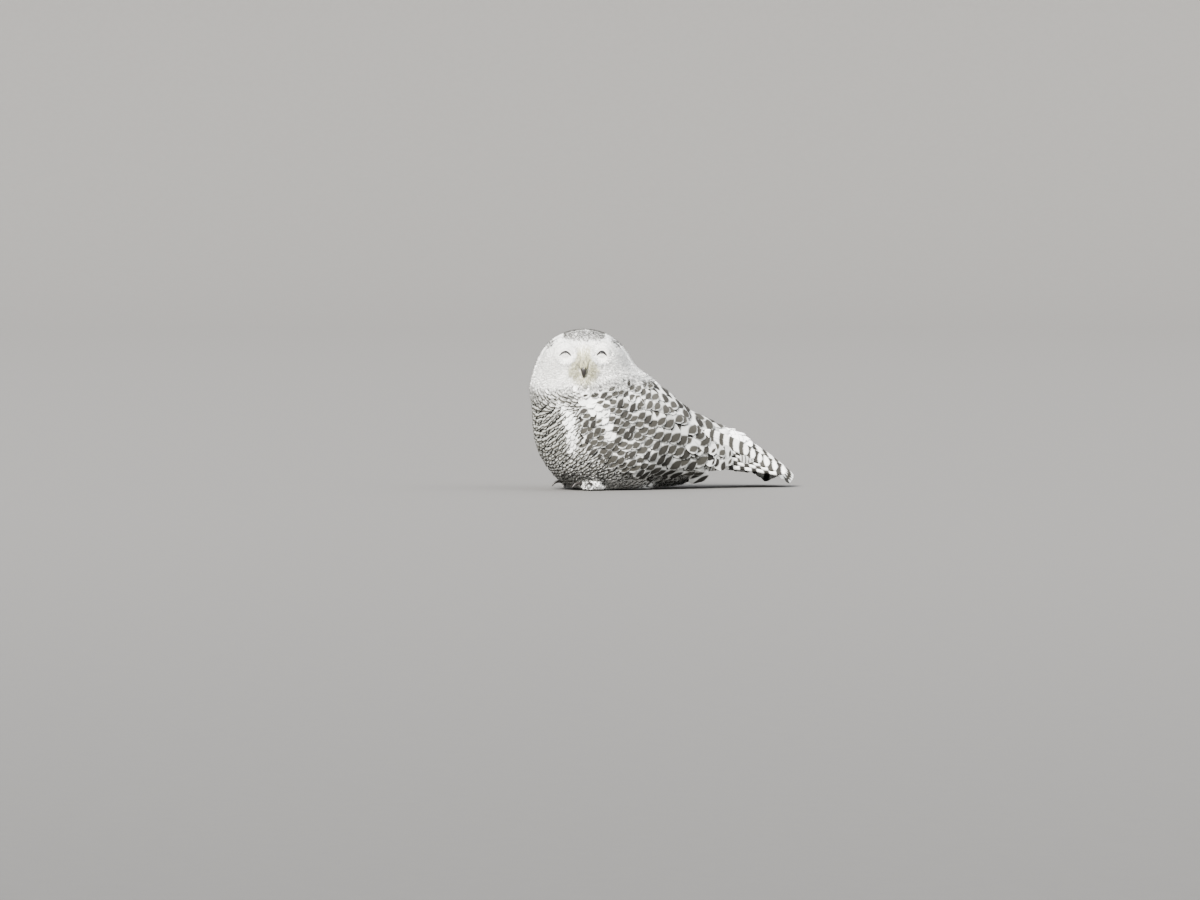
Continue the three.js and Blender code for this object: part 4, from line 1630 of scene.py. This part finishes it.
# The lower edge of the folded wing: how far back, and how high.
WING_EDGE = ([30, 44, 100, 200, 330, 374, 430], [118, 86, 50, 28, 25, 38, 60])


def heart_at(back):
    """A point in the heart of the body, in metres."""
    return np.array([0, NECK_AXIS[1] + (back - NECK_BACK) * MM, (118 - 0.25 * (back - 60)) * MM])


def on_grid(cuts, back, down):
    """The place and normal at these two distances, or None off the body."""
    share = (back - GRID_BACK[0]) / (GRID_BACK[1] - GRID_BACK[0])
    first = int(share)
    pair = [along_cut(c, np.array([down])) for c in cuts[first:first + 2]]
    if len(pair) < 2 or min(len(p) for p in pair) == 0:
        return None
    return pair[0][0] * (1 - share + first) + pair[1][0] * (share - first)


def under_neck(back, height):
    """1 where the coat of the body lies. It ends under the tufts that hang over the seam."""
    return 1 - smooth(9, 12, height - neck_line(back))


def of_wing(points):
    """1 where the feathers stand in rows: the wings, the shoulders and the back."""
    _, back, height = on_body(points)
    lower = np.interp(back, *WING_EDGE)
    behind = smooth(38, 42, back - 0.10 * np.abs(height - 110))
    return behind * smooth(lower - 1, lower + 3, height) * under_neck(back, height)


print(f"rows cover {100 * of_wing(skin_surface.points).mean():.0f} per cent of the skin")

# %% [markdown]
# ### Rows that cross the feathers
#
# A row has to run square to its feathers, or they would slide over each other sideways. Along
# the ridge the feathers point at the tail, so the rows start straight across it. Down the side
# the feathers hang more and more, so the rows swing forward. Every row is the same curve, moved
# back by one step. Towards the tail the whole pattern grows.

# %% Ruling the rows
ROW_GAP = 12.5  # between rows on the ridge, mm
FEATHER_GAP = 12.5  # between feathers along a row
ROW_SHIFT = 0.38  # how far each row is moved along, in feathers
ROWS, ROW_FEATHERS = 45, 30
RIDGE_GAP = 3  # the right side leaves this much of the ridge to the left side's feathers
DOWN_SIDE = np.arange(0.0, 270.0)
HANG = np.radians(90 - 44 * smooth(10, 75, DOWN_SIDE))  # from straight down to the feather
SWING = np.cumsum(1 / np.tan(HANG))  # how far forward a row has run
ROW_RUN = np.cumsum(1 / np.sin(HANG))
FLAT_BACK = np.arange(0.0, 260.0)
GROWTH = 0.95 + 0.20 * smooth(20, 80, FLAT_BACK) + 0.75 * smooth(70, 180, FLAT_BACK)
GROWN_BACK = GRID_BACK[0] + np.cumsum(GROWTH)
print(f"a row runs {ROW_RUN[-1]:.0f} mm and swings {SWING[-1]:.0f} mm forward before it grows")


def ruled_roots(side):
    """Roots with normals, the step between rows there and the pitch along a row, in mm."""
    cuts, found = [cut(heart_at(back), GRID_UP, side) for back in GRID_BACK], []
    for order in range(ROWS):
        for run in (np.arange(ROW_FEATHERS) + (ROW_SHIFT * order) % 1) * FEATHER_GAP:
            down = np.interp(run, ROW_RUN, DOWN_SIDE)
            flat = ROW_GAP * order - np.interp(down, DOWN_SIDE, SWING)
            on_the_body = run <= ROW_RUN[-1] and 0 < flat < FLAT_BACK[-1]
            if not on_the_body or (side < 0 and run < RIDGE_GAP):
                continue
            grown = np.interp(flat, FLAT_BACK, GROWTH)
            place = on_grid(cuts, np.interp(flat, FLAT_BACK, GROWN_BACK), down * grown)
            if place is not None:
                step = ROW_GAP * np.sin(np.interp(down, DOWN_SIDE, HANG)) * grown
                found.append([*place, step, FEATHER_GAP * grown])
    found = np.array(found)
    found = found[of_wing(found[:, :3]) > 0.5]
    return found[:, :3], unit(found[:, 3:6]), found[:, 6], found[:, 7]


# %% Lay the rows
QUILLS_BACK, QUILLS_TOP = 270, 84  # behind and below these the quills are laid one by one
EDGE_CLING = 0.35  # along the wing's lower edge, where feathers stand off a little
EDGE_SHORTER = 0.7  # their length there, as a share

for side in EYES:
    roots, normals, step, pitch = ruled_roots(SIGN[side])
    _, back, height = on_body(roots)
    keep = (back < QUILLS_BACK) | (height > QUILLS_TOP)
    lies = lie_of(roots, normals)[keep]
    bars, grey_and_painted_shade = (values[keep] for values in markings(roots))
    roots, normals, step, pitch = roots[keep], normals[keep], step[keep], pitch[keep]
    edge = (height - np.interp(back, *WING_EDGE))[keep]
    cling = EDGE_CLING + (1 - EDGE_CLING) * smooth(8, 30, edge)
    length = (2.2 * step + 7) * (EDGE_SHORTER + (1 - EDGE_SHORTER) * smooth(4, 26, edge))
    lay(f"coat_wing_{side}", roots, normals, lies, 1.5 * pitch, length, 5.2, COVERTS, COVERT_FINISH,
        side_chart, 0.018, 31, twist=4.0, bars=bars, grey_and_painted_shade=grey_and_painted_shade, cling=cling)

# %% [markdown]
# ## Breast, belly and flanks
#
# The breast has finer rows. They hang like garlands from shoulder to shoulder, so their cuts
# slant down across the front. Behind and below them the coat is looser: the roots of the
# flanks are scattered, and long fluffy tufts cover the legs and the underside.

# %% Rows on the breast
BREAST_HEART = heart_at(95.0) - [0, 0, 0.012]  # metres, on the cut in the middle
ACROSS_BREAST = -np.cross(TO_LEFT, BREAST_LIE)
DOWN_BREAST = np.array([0.0, 0.62, -0.90])  # the way from one cut's heart to the next
BREAST_STEP = 6.2  # between cuts, mm
BREAST_PITCH = 8.6  # between feathers along a cut, mm
BREAST_CUTS = np.arange(-130, 100, BREAST_STEP)
CUT_FEATHERS = 60  # more than any cut has room for
points = skin_surface.points
_, back, height = on_body(points)


def of_breast(points):
    """1 on the front of the body, between the bib, the wings and the legs."""
    _, back, height = on_body(points)
    front = 1 - smooth(112, 118, back)
    return under_neck(back, height) * (1 - of_wing(points)) * front * smooth(26, 34, height)


found = []
for order, along in enumerate(BREAST_CUTS):
    for side in (1, -1):
        first = 0.5 if order % 2 else (0 if side > 0 else 1)
        outline = cut(BREAST_HEART + DOWN_BREAST * along * MM, ACROSS_BREAST, side)
        found.append(along_cut(outline, (np.arange(CUT_FEATHERS) + first) * BREAST_PITCH))
found = np.concatenate(found)
found = found[of_breast(found[:, :3]) > 0.5]
roots, normals = found[:, :3], unit(found[:, 3:])
lay("coat_breast", roots, normals, lie_of(roots, normals), 1.5 * BREAST_PITCH, 2.7 * BREAST_STEP, 5.6,
    VANES, BREAST_FINISH, body_chart, 0.010, 41, twist=5.0)

# %% Flanks
rest = under_neck(back, height) * (1 - of_wing(points)) * (1 - of_breast(points))
roots, normals = scatter(skin, skin_surface, rest, 6.0, 42)
_, back, _ = on_body(roots)
length = 16 + 9 * smooth(60, 190, back)
lay("coat_flanks", roots, normals, lie_of(roots, normals), 0.56 * length, length, 5.8, VANES,
    BREAST_FINISH, body_chart, 0.008, 43, twist=8.0)

# %% Fluff on the belly
_, back, height = on_body(points)
low = (1 - of_wing(points)) * (height < 40) * (back < 330)
roots, normals = scatter(skin, skin_surface, low, 5.4, 45)
_, back, _ = on_body(roots)
bars, grey_and_painted_shade = markings(roots)
lay("coat_fluff", roots, normals, lie_of(roots, normals), 9, 17 + 4 * smooth(100, 220, back), 8.5, FLUFF,
    DOWN_FINISH, body_chart, 0.006, 46, twist=22.0, bars=0.5 * bars, grey_and_painted_shade=0.8 * grey_and_painted_shade)

# %% [markdown]
# ## Tail and wing tips
#
# The twelve tail feathers and the longest quills of the wings are big enough to be modelled
# one by one. Each is a thin closed blade with a raised quill. Rays measure the top of the
# tail's solid and the outer face of each wing's solid, and a smooth surface is fitted to what
# they find, so that a feather can run on past an edge. The middle pair of the tail lies
# uppermost and each next pair about half a millimetre lower, and the wing's quills overlap
# likewise.

# %% A smooth surface through measured places
def powers(first, second):
    """The terms of a gently curved surface over two directions."""
    one = np.ones_like(first)
    return np.stack([one, first, second, first**2, first * second, second**2, first**2 * second], 1)


def fitted(tree, flat_places, start_at, direction):
    """The terms' weights for the surface that rays meet, as heights against the rays'
    direction. start_at turns a place into the start of its ray."""
    used, found = [], []
    for place in flat_places:
        hit = tree.ray_cast(Vector(start_at(place)), Vector(direction))[0]
        if hit is not None:
            used.append(place)
            found.append(hit @ Vector(direction))
    used = np.array(used)
    weights = np.linalg.lstsq(powers(used[:, 0], used[:, 1]), -np.array(found), rcond=None)[0]
    wrong = np.abs(powers(used[:, 0], used[:, 1]) @ weights + np.array(found)).max() / MM
    print(f"surface fitted to {len(used)} places, at most {wrong:.1f} mm off")
    return weights


def height_on(weights, first, second):
    return float((powers(np.array([first]), np.array([second])) @ weights)[0])


# %% One quill
SHAFT = 0.045  # half the width of the raised quill, as a share of half the blade
SHAFT_RISE = 0.5  # mm, at the root
QUILL_CAMBER = 0.35  # how far the blade's edges lie below its middle, mm
QUILL_COLUMNS = np.array([-1.0, -0.72, -0.42, -0.16, -SHAFT, 0.0, SHAFT, 0.16, 0.42, 0.72, 1.0])
QUILL_ROWS = 46
LONGEST_QUILL = 0.190  # metres. Shorter ones use only the upper part of the map, so bars match.


def quill_width(v, tip=0.10):
    """The share of the full width at a place along the vane: narrow root, broad round tip."""
    root = 0.25 + 0.75 * smooth(0.0, 0.30, v)
    end = np.clip((v - (1 - tip)) / tip, 0, 1)
    return root * np.sqrt(np.clip(1 - end**2.2, 0, 1))


def quill_blade(centre, surface_at, half_width, outer_share, thickness, sunk_root, dice):
    """Vertices, faces and map of a blade. centre(v) is on the flat plan, and surface_at lifts a
    plan place onto the surface that it lies on, lower by a depth in metres. The root end lies
    lower still, by sunk_root, under the smaller feathers that cover it."""
    vertices, maps, faces = [], [], []
    rows = np.linspace(0, 1, QUILL_ROWS)
    waves = 0.03 * np.sin(rows * 61 + dice.uniform(0, 6)) * smooth(0.3, 0.9, rows)
    fray = 1 + waves + dice.uniform(-0.015, 0.015, QUILL_ROWS)
    width = np.maximum(quill_width(rows), 0.03) * half_width * fray
    width[-1] = 0.10 * half_width
    plan = np.array([centre(v) for v in rows])
    share_of_longest = np.linalg.norm(plan[-1] - plan[0]) / LONGEST_QUILL
    ahead = unit(np.gradient(plan, axis=0))
    beside = np.stack([-ahead[:, 1], ahead[:, 0]], 1)
    for i, v in enumerate(rows):
        for layer in (0, 1):
            for u in QUILL_COLUMNS:
                share = outer_share if u > 0 else 2 - outer_share
                spot = plan[i] + beside[i] * u * share * width[i]
                ridge = SHAFT_RISE * MM * max(0.0, 1 - abs(u) / SHAFT) * (1 - 0.7 * v)
                sag = thickness * layer * (1 - 0.55 * abs(u)) - ridge * (1 - layer)
                sag += sunk_root * (1 - smooth(0, 0.3, v))
                vertices.append(surface_at(spot, sag + QUILL_CAMBER * MM * u * u))
                maps.append((0.5 + 0.5 * u, 1 - (1 - v) * share_of_longest))
    columns = len(QUILL_COLUMNS)
    for i in range(QUILL_ROWS - 1):
        top, low = 2 * i * columns, (2 * i + 1) * columns
        next_top, next_low = top + 2 * columns, low + 2 * columns
        edge = columns - 1
        for k in range(edge):
            faces.append((top + k, top + k + 1, next_top + k + 1, next_top + k))
            faces.append((low + k + 1, low + k, next_low + k, next_low + k + 1))
        faces.append((low, top, next_top, next_low))
        faces.append((top + edge, low + edge, next_low + edge, next_top + edge))
    last_top, last_low = 2 * (QUILL_ROWS - 1) * columns, (2 * QUILL_ROWS - 1) * columns
    for k in range(columns - 1):
        faces.append((k + 1, k, columns + k, columns + k + 1))
        faces.append((last_top + k, last_top + k + 1, last_low + k + 1, last_low + k))
    return vertices, maps, faces


def quill_piece(name, blades):
    """One piece of several blades. Each has its own strip of the map for baking, with its upper
    face beside its under face."""
    vertices, maps, bake, faces, chances = [], [], [], [], []
    for order, (blade_vertices, blade_maps, blade_faces) in enumerate(blades):
        first = len(vertices)
        vertices += blade_vertices
        maps += blade_maps
        strip = 1 / len(blades)
        columns = len(QUILL_COLUMNS)
        for i, (u, v) in enumerate(blade_maps):
            under = (i // columns) % 2
            bake.append((strip * (order + 0.03 + (0.47 * under + 0.44 * u)), 0.01 + 0.98 * v))
        chances += [(order * 0.37) % 1.0] * len(blade_vertices)
        faces += [tuple(first + k for k in face) for face in blade_faces]
    made = mesh_object(name, vertices, faces)
    mesh = made.data
    write_map(mesh, "vane", maps)
    write_map(mesh, "OFBake", bake)
    for key, value in (("chance", chances), ("bars", 0.95), ("grey_and_painted_shade", 0.12), ("warm", 0.12)):
        write_numbers(mesh, key, np.ones(len(vertices)) * value)
    point_faces_outwards(mesh)
    mesh.shade_smooth()
    mesh.materials.append(QUILL_FINISH)
    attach(made, "root")
    print(f"{name}: {len(blades)} quills")
    return made


QUILL_BARS = {
    "Place": 0.92, "Spacing": 0.114, "Thickness": 0.056, "Bow": -0.015, "Lean": 0.02,
    "Roughness": 0.02, "Drift": 0.02,
}
QUILL_BARBS = {"Barbs": 110.0, "Slant": 0.09, "Quill": 0.05}
# depth is the painted shade on each quill's covered root end.
QUILL_FINISH = feather_finish(
    "tail and wing quill", QUILL_BARS, QUILL_BARBS, bump=0.35, roughness=0.6, depth=0.1)
print(f"a quill has {2 * QUILL_ROWS * len(QUILL_COLUMNS)} points, on its two faces")

# %% Tail
TAIL_PAIRS = 6
TAIL_LAYER = 0.55 * MM  # between one pair and the next
TAIL_HALF_WIDTH = 15.5 * MM  # of one feather
TAIL_THICKNESS = 0.45 * MM
tail_low, tail_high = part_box("tail")
tail_places = [(x * tail_high.x, y) for y in np.linspace(tail_low.y + 6 * MM, tail_high.y - 24 * MM, 12)
               for x in np.linspace(-0.8, 0.8, 9)]
tail_top = fitted(tree_of(["tail"]), tail_places, lambda place: (*place, 0.5), (0, 0, -1))


def on_tail(spot, depth):
    """The top of the tail at a plan place, or a little below it."""
    return np.array([spot[0], spot[1], height_on(tail_top, spot[0], spot[1]) - depth])


def tail_blade(pair, side, dice):
    share = side * (pair + 0.35) / (TAIL_PAIRS - 0.3)
    root = np.array([share * 12 * MM, tail_low.y + 2 * MM])
    tip = np.array([share * (tail_high.x - 11 * MM), tail_high.y - 17 * MM * share**2])
    lower = 0.3 * MM + TAIL_LAYER * pair + 0.2 * MM * (side < 0)

    def centre(v):
        bend = share * 3 * MM * math.sin(math.pi * v)
        return root + (tip - root) * v + [bend, 0]

    return quill_blade(centre, lambda spot, sag: on_tail(spot, lower + sag), TAIL_HALF_WIDTH,
                       1.0 - 0.25 * side * (pair > 0), TAIL_THICKNESS, 3 * MM, dice)


dice = np.random.default_rng(61)
blades = [tail_blade(pair, side, dice) for pair in range(TAIL_PAIRS) for side in (1, -1)]
tail = quill_piece("tail_quills", blades)
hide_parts("tail")

# %% Wing tips
WING_QUILLS = 6
BEHIND_NECK = NECK_AXIS[1] - NECK_BACK * MM  # where on_body counts back from
WING_QUILL_HALF_WIDTH = 11.5 * MM
WING_QUILL_THICKNESS = 0.5 * MM
# Where the outer face is measured: how far back, and from what height to what height.
WING_STRIPS = ((250, 34, 112), (280, 34, 104), (310, 34, 92), (340, 38, 80), (370, 40, 64))
wing_places = [(BEHIND_NECK + back * MM, (low + (high - low) * t) * MM)
               for back, low, high in WING_STRIPS for t in np.linspace(0, 1, 6)]


def wing_face(side):
    """The fitted outer face of a folded wing."""
    sign = SIGN[side]
    solid = tree_of([f"wing_{side}"])
    return fitted(solid, wing_places, lambda place: (sign * FAR_OUT, *place), (-sign, 0, 0))


wing_faces = {side: wing_face(side) for side in EYES}


def on_wing(side, spot, depth):
    """The outer face of a folded wing at a place seen from the side, or a little inside it."""
    out = height_on(wing_faces[side], spot[0], spot[1]) - depth
    return np.array([SIGN[side] * out, spot[0], max(spot[1], 2 * LOWEST)])


def wing_blade(side, order, dice):
    t = order / (WING_QUILLS - 1)
    root = np.array([BEHIND_NECK + 262 * MM, (46 + 50 * t) * MM])
    tip = np.array([BEHIND_NECK + (438 - 62 * t) * MM, (30 + 32 * t) * MM])
    lower = 0.4 * MM + 0.6 * MM * (WING_QUILLS - 1 - order)

    def centre(v):
        return root + (tip - root) * v + [0, 4 * MM * math.sin(math.pi * v)]

    return quill_blade(centre, lambda spot, sag: on_wing(side, spot, lower + sag), WING_QUILL_HALF_WIDTH,
                       1.0, WING_QUILL_THICKNESS, 4 * MM, dice)


for side in EYES:
    blades = [wing_blade(side, order, dice) for order in range(WING_QUILLS)]
    quill_piece(f"wing_quills_{side}", blades)

# %% [markdown]
# ### Coverts over the quills
#
# Smaller feathers cover the roots of the big ones. They sit on the same fitted surfaces, in
# staggered rows, and stay straight, because the surfaces are nearly flat there. A root's
# normal comes from the slope of the surface.

# %% Coverts of the tail
TAIL_ROWS = (318, 331, 344, 357)  # how far back each row is, mm
TAIL_PITCH = 11
TAIL_SPREAD = 4.0  # how much the coverts fan out


def slope_on(weights, first, second):
    """The steepness of a fitted surface in its two directions."""
    tiny = 1e-4
    here = height_on(weights, first, second)
    rise_first = height_on(weights, first + tiny, second) - here
    rise_second = height_on(weights, first, second + tiny) - here
    return rise_first / tiny, rise_second / tiny


found = []
for row, back in enumerate(TAIL_ROWS):
    for x in np.arange(-26 + TAIL_PITCH / 2 * (row % 2), 27, TAIL_PITCH):
        y = BEHIND_NECK + back * MM
        across, down = slope_on(tail_top, x * MM, y)
        found.append([x * MM, y, height_on(tail_top, x * MM, y) - 1.2 * MM, -across, -down, 1.0, row])
found = np.array(found)
roots, normals = found[:, :3], unit(found[:, 3:6])
lies = tangent(np.tile(TIP_LIE, (len(roots), 1)) + TAIL_SPREAD * roots[:, [0]] * TO_LEFT, normals)
lay("coat_tail_coverts", roots, normals, lies, 19, 38, 5.5, VANES, BREAST_FINISH, body_chart, 0.012, 51,
    twist=6.0, bars=np.where(found[:, 6] < 2, 0.2, 0.0), grey_and_painted_shade=0.04, cling=0.0)

# %% Coverts of the wing tips
WING_ROWS = (240, 254, 268, 283, 298, 313)
WING_PITCH = 14
ROWS_FOOT = 50  # the height where each row starts

for side, sign in SIGN.items():
    found = []
    for row, back in enumerate(WING_ROWS):
        high = np.interp(back, [246, 312], [100, 84])
        for z in np.arange(ROWS_FOOT + WING_PITCH / 2 * (row % 2), high, WING_PITCH):
            y, z = BEHIND_NECK + back * MM, z * MM
            rear, up = slope_on(wing_faces[side], y, z)
            x = height_on(wing_faces[side], y, z) - (1.2 + 3.6 * (1 - smooth(250, 300, back))) * MM
            found.append([sign * x, y, z, sign, -rear, -up, row])
    found = np.array(found)
    roots, normals = found[:, :3], unit(found[:, 3:6])
    _, _, height = on_body(roots)
    lies = tangent(blend(smooth(105, 60, height), np.tile(WING_LIE, (len(roots), 1)), TIP_LIE), normals)
    bars, grey_and_painted_shade = markings(roots)
    bars = bars * (1 - 0.5 * (found[:, 6] % 2))
    lay(f"coat_quill_coverts_{side}", roots, normals, lies, 21, 28 + 8 * smooth(55, 80, height), 3.8,
        COVERTS, COVERT_FINISH, side_chart, 0.02, 53, twist=4.0, bars=bars, grey_and_painted_shade=grey_and_painted_shade, cling=0.0)

# %% [markdown]
# ## Bill and claws
#
# The horn is black and polished. The solids of the bill and the claws have the right size and
# hook, and only their facets show, so each is a merged copy with a subdivision surface. Horn
# is finely grained, which a small noise gives as bump and a little change of gloss.

# %% Horn
HORN_BLACK = (0.008, 0.007, 0.007)
HORN_WORN = (0.030, 0.026, 0.023)


def horn_finish():
    """Black horn with faint clouds and a fine grain."""
    material, tree, shader = new_material("black horn")
    coordinates = object_coordinates(tree)
    grain = noise(tree, coordinates, 900.0, 4.0)
    clouds = noise(tree, coordinates, 160.0, 2.0)
    tree.links.new(mixed(tree, clouds, HORN_BLACK, HORN_WORN), shader.inputs["Base Color"])
    tree.links.new(sums(tree, "MULTIPLY_ADD", grain, 0.25, 0.25), shader.inputs["Roughness"])
    add_relief(tree, shader, grain, 0.25, 0.0002)
    return material


HORN = horn_finish()


def horn_piece(name, nodes):
    """A smooth piece of horn in place of some solids."""
    made = joined_copy(name, nodes)
    add_modifier(made, "SUBSURF", levels=2, render_levels=2)
    settle(made)
    made.data.shade_smooth()
    made.data.materials.clear()
    made.data.materials.append(HORN)
    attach(made, "root")
    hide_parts(*nodes)
    print(f"{name}: {len(made.data.polygons)} faces")
    return made


bill = horn_piece("bill_upper_horn", ["bill_upper"])
horn_piece("bill_lower_horn", ["bill_lower"])
for side in EYES:
    horn_piece(f"claws_{side}", [f"claw_{side}_{k}" for k in range(1, 5)])

# %% [markdown]
# ## Bristles round the bill
#
# Stiff cream and olive bristles grow between the eyes and beside the bill. They sweep down and
# forward in two lobes, so that only the black tip of the bill shows between them. They stand
# on the skin by their own direction instead of lying along it, and shorter ones lie on the
# root of the bill.

# %% Bristles on the face
left, ahead, height = on_head(skin_surface.points).T
lobes = near_line(np.abs(left), height, (3, 229), (15, 203), 8, 9) * (ahead > 40)
roots, normals = scatter(skin, skin_surface, lobes, 1.9, 72)
left, ahead, height = on_head(roots).T
outward = 0.30 * np.sign(left) * smooth(2, 10, np.abs(left)) * smooth(226, 206, height)
lies = outward[:, None] * HEAD_LEFT + 0.42 * HEAD_AHEAD - 0.90 * UP
ups = np.tile(unit(HEAD_AHEAD * 0.8 + UP * 0.40), (len(roots), 1))
lay("coat_bristles", roots, tangent(ups, unit(lies)), unit(lies), 2.8, 13 + 3 * smooth(210, 222, height),
    1.6, BRISTLES, DOWN_FINISH, head_chart, 0.003, 73, twist=9.0, bars=0, grey_and_painted_shade=0.10,
    warm=0.85 + 0.15 * wander(roots, 9, 74), cling=0.0)

# %% Bristles over the root of the bill
bill_surface = Surface(bill.data)
left, ahead, height = on_head(bill_surface.points).T
covered = smooth(208, 211, height) * (ahead > 62)
roots, normals = scatter(bill, bill_surface, covered, 1.5, 75)
left, _, height = on_head(roots).T
lies = tangent(0.12 * np.sign(left)[:, None] * HEAD_LEFT - UP + 0.25 * HEAD_AHEAD, normals)
lay("coat_bill_bristles", roots, normals, lies, 2.4, 8.5, 1.5, BRISTLES, DOWN_FINISH, head_chart,
    0.003, 76, twist=8.0, bars=0, grey_and_painted_shade=0.2, warm=1, on=bill)

# %% [markdown]
# ## Feathered feet
#
# A snowy owl's feet are furred to the claws with short hair-like feathers, a little longer on
# the shank. Tufts of down on the skin of the legs give that. They point forward and down, so
# that the toes end in a soft fringe round the claws.

# %% Feet
feet = (skin_part == "leg") * 1.0
roots, normals = scatter(skin, skin_surface, feet, 2.3, 81)
lies = tangent(np.tile([0.0, -0.9, -0.45], (len(roots), 1)), normals)
shank = smooth(120, 140, roots[:, 1] / MM)
lay("coat_feet", roots, normals, lies, 3.6 + 1.6 * shank, 8.0 + 5.0 * shank, 2.6 + 1.2 * shank, DOWN,
    DOWN_FINISH, body_chart, 0.003, 82, twist=16.0, bars=0, grey_and_painted_shade=0.15 + 0.2 * shank)
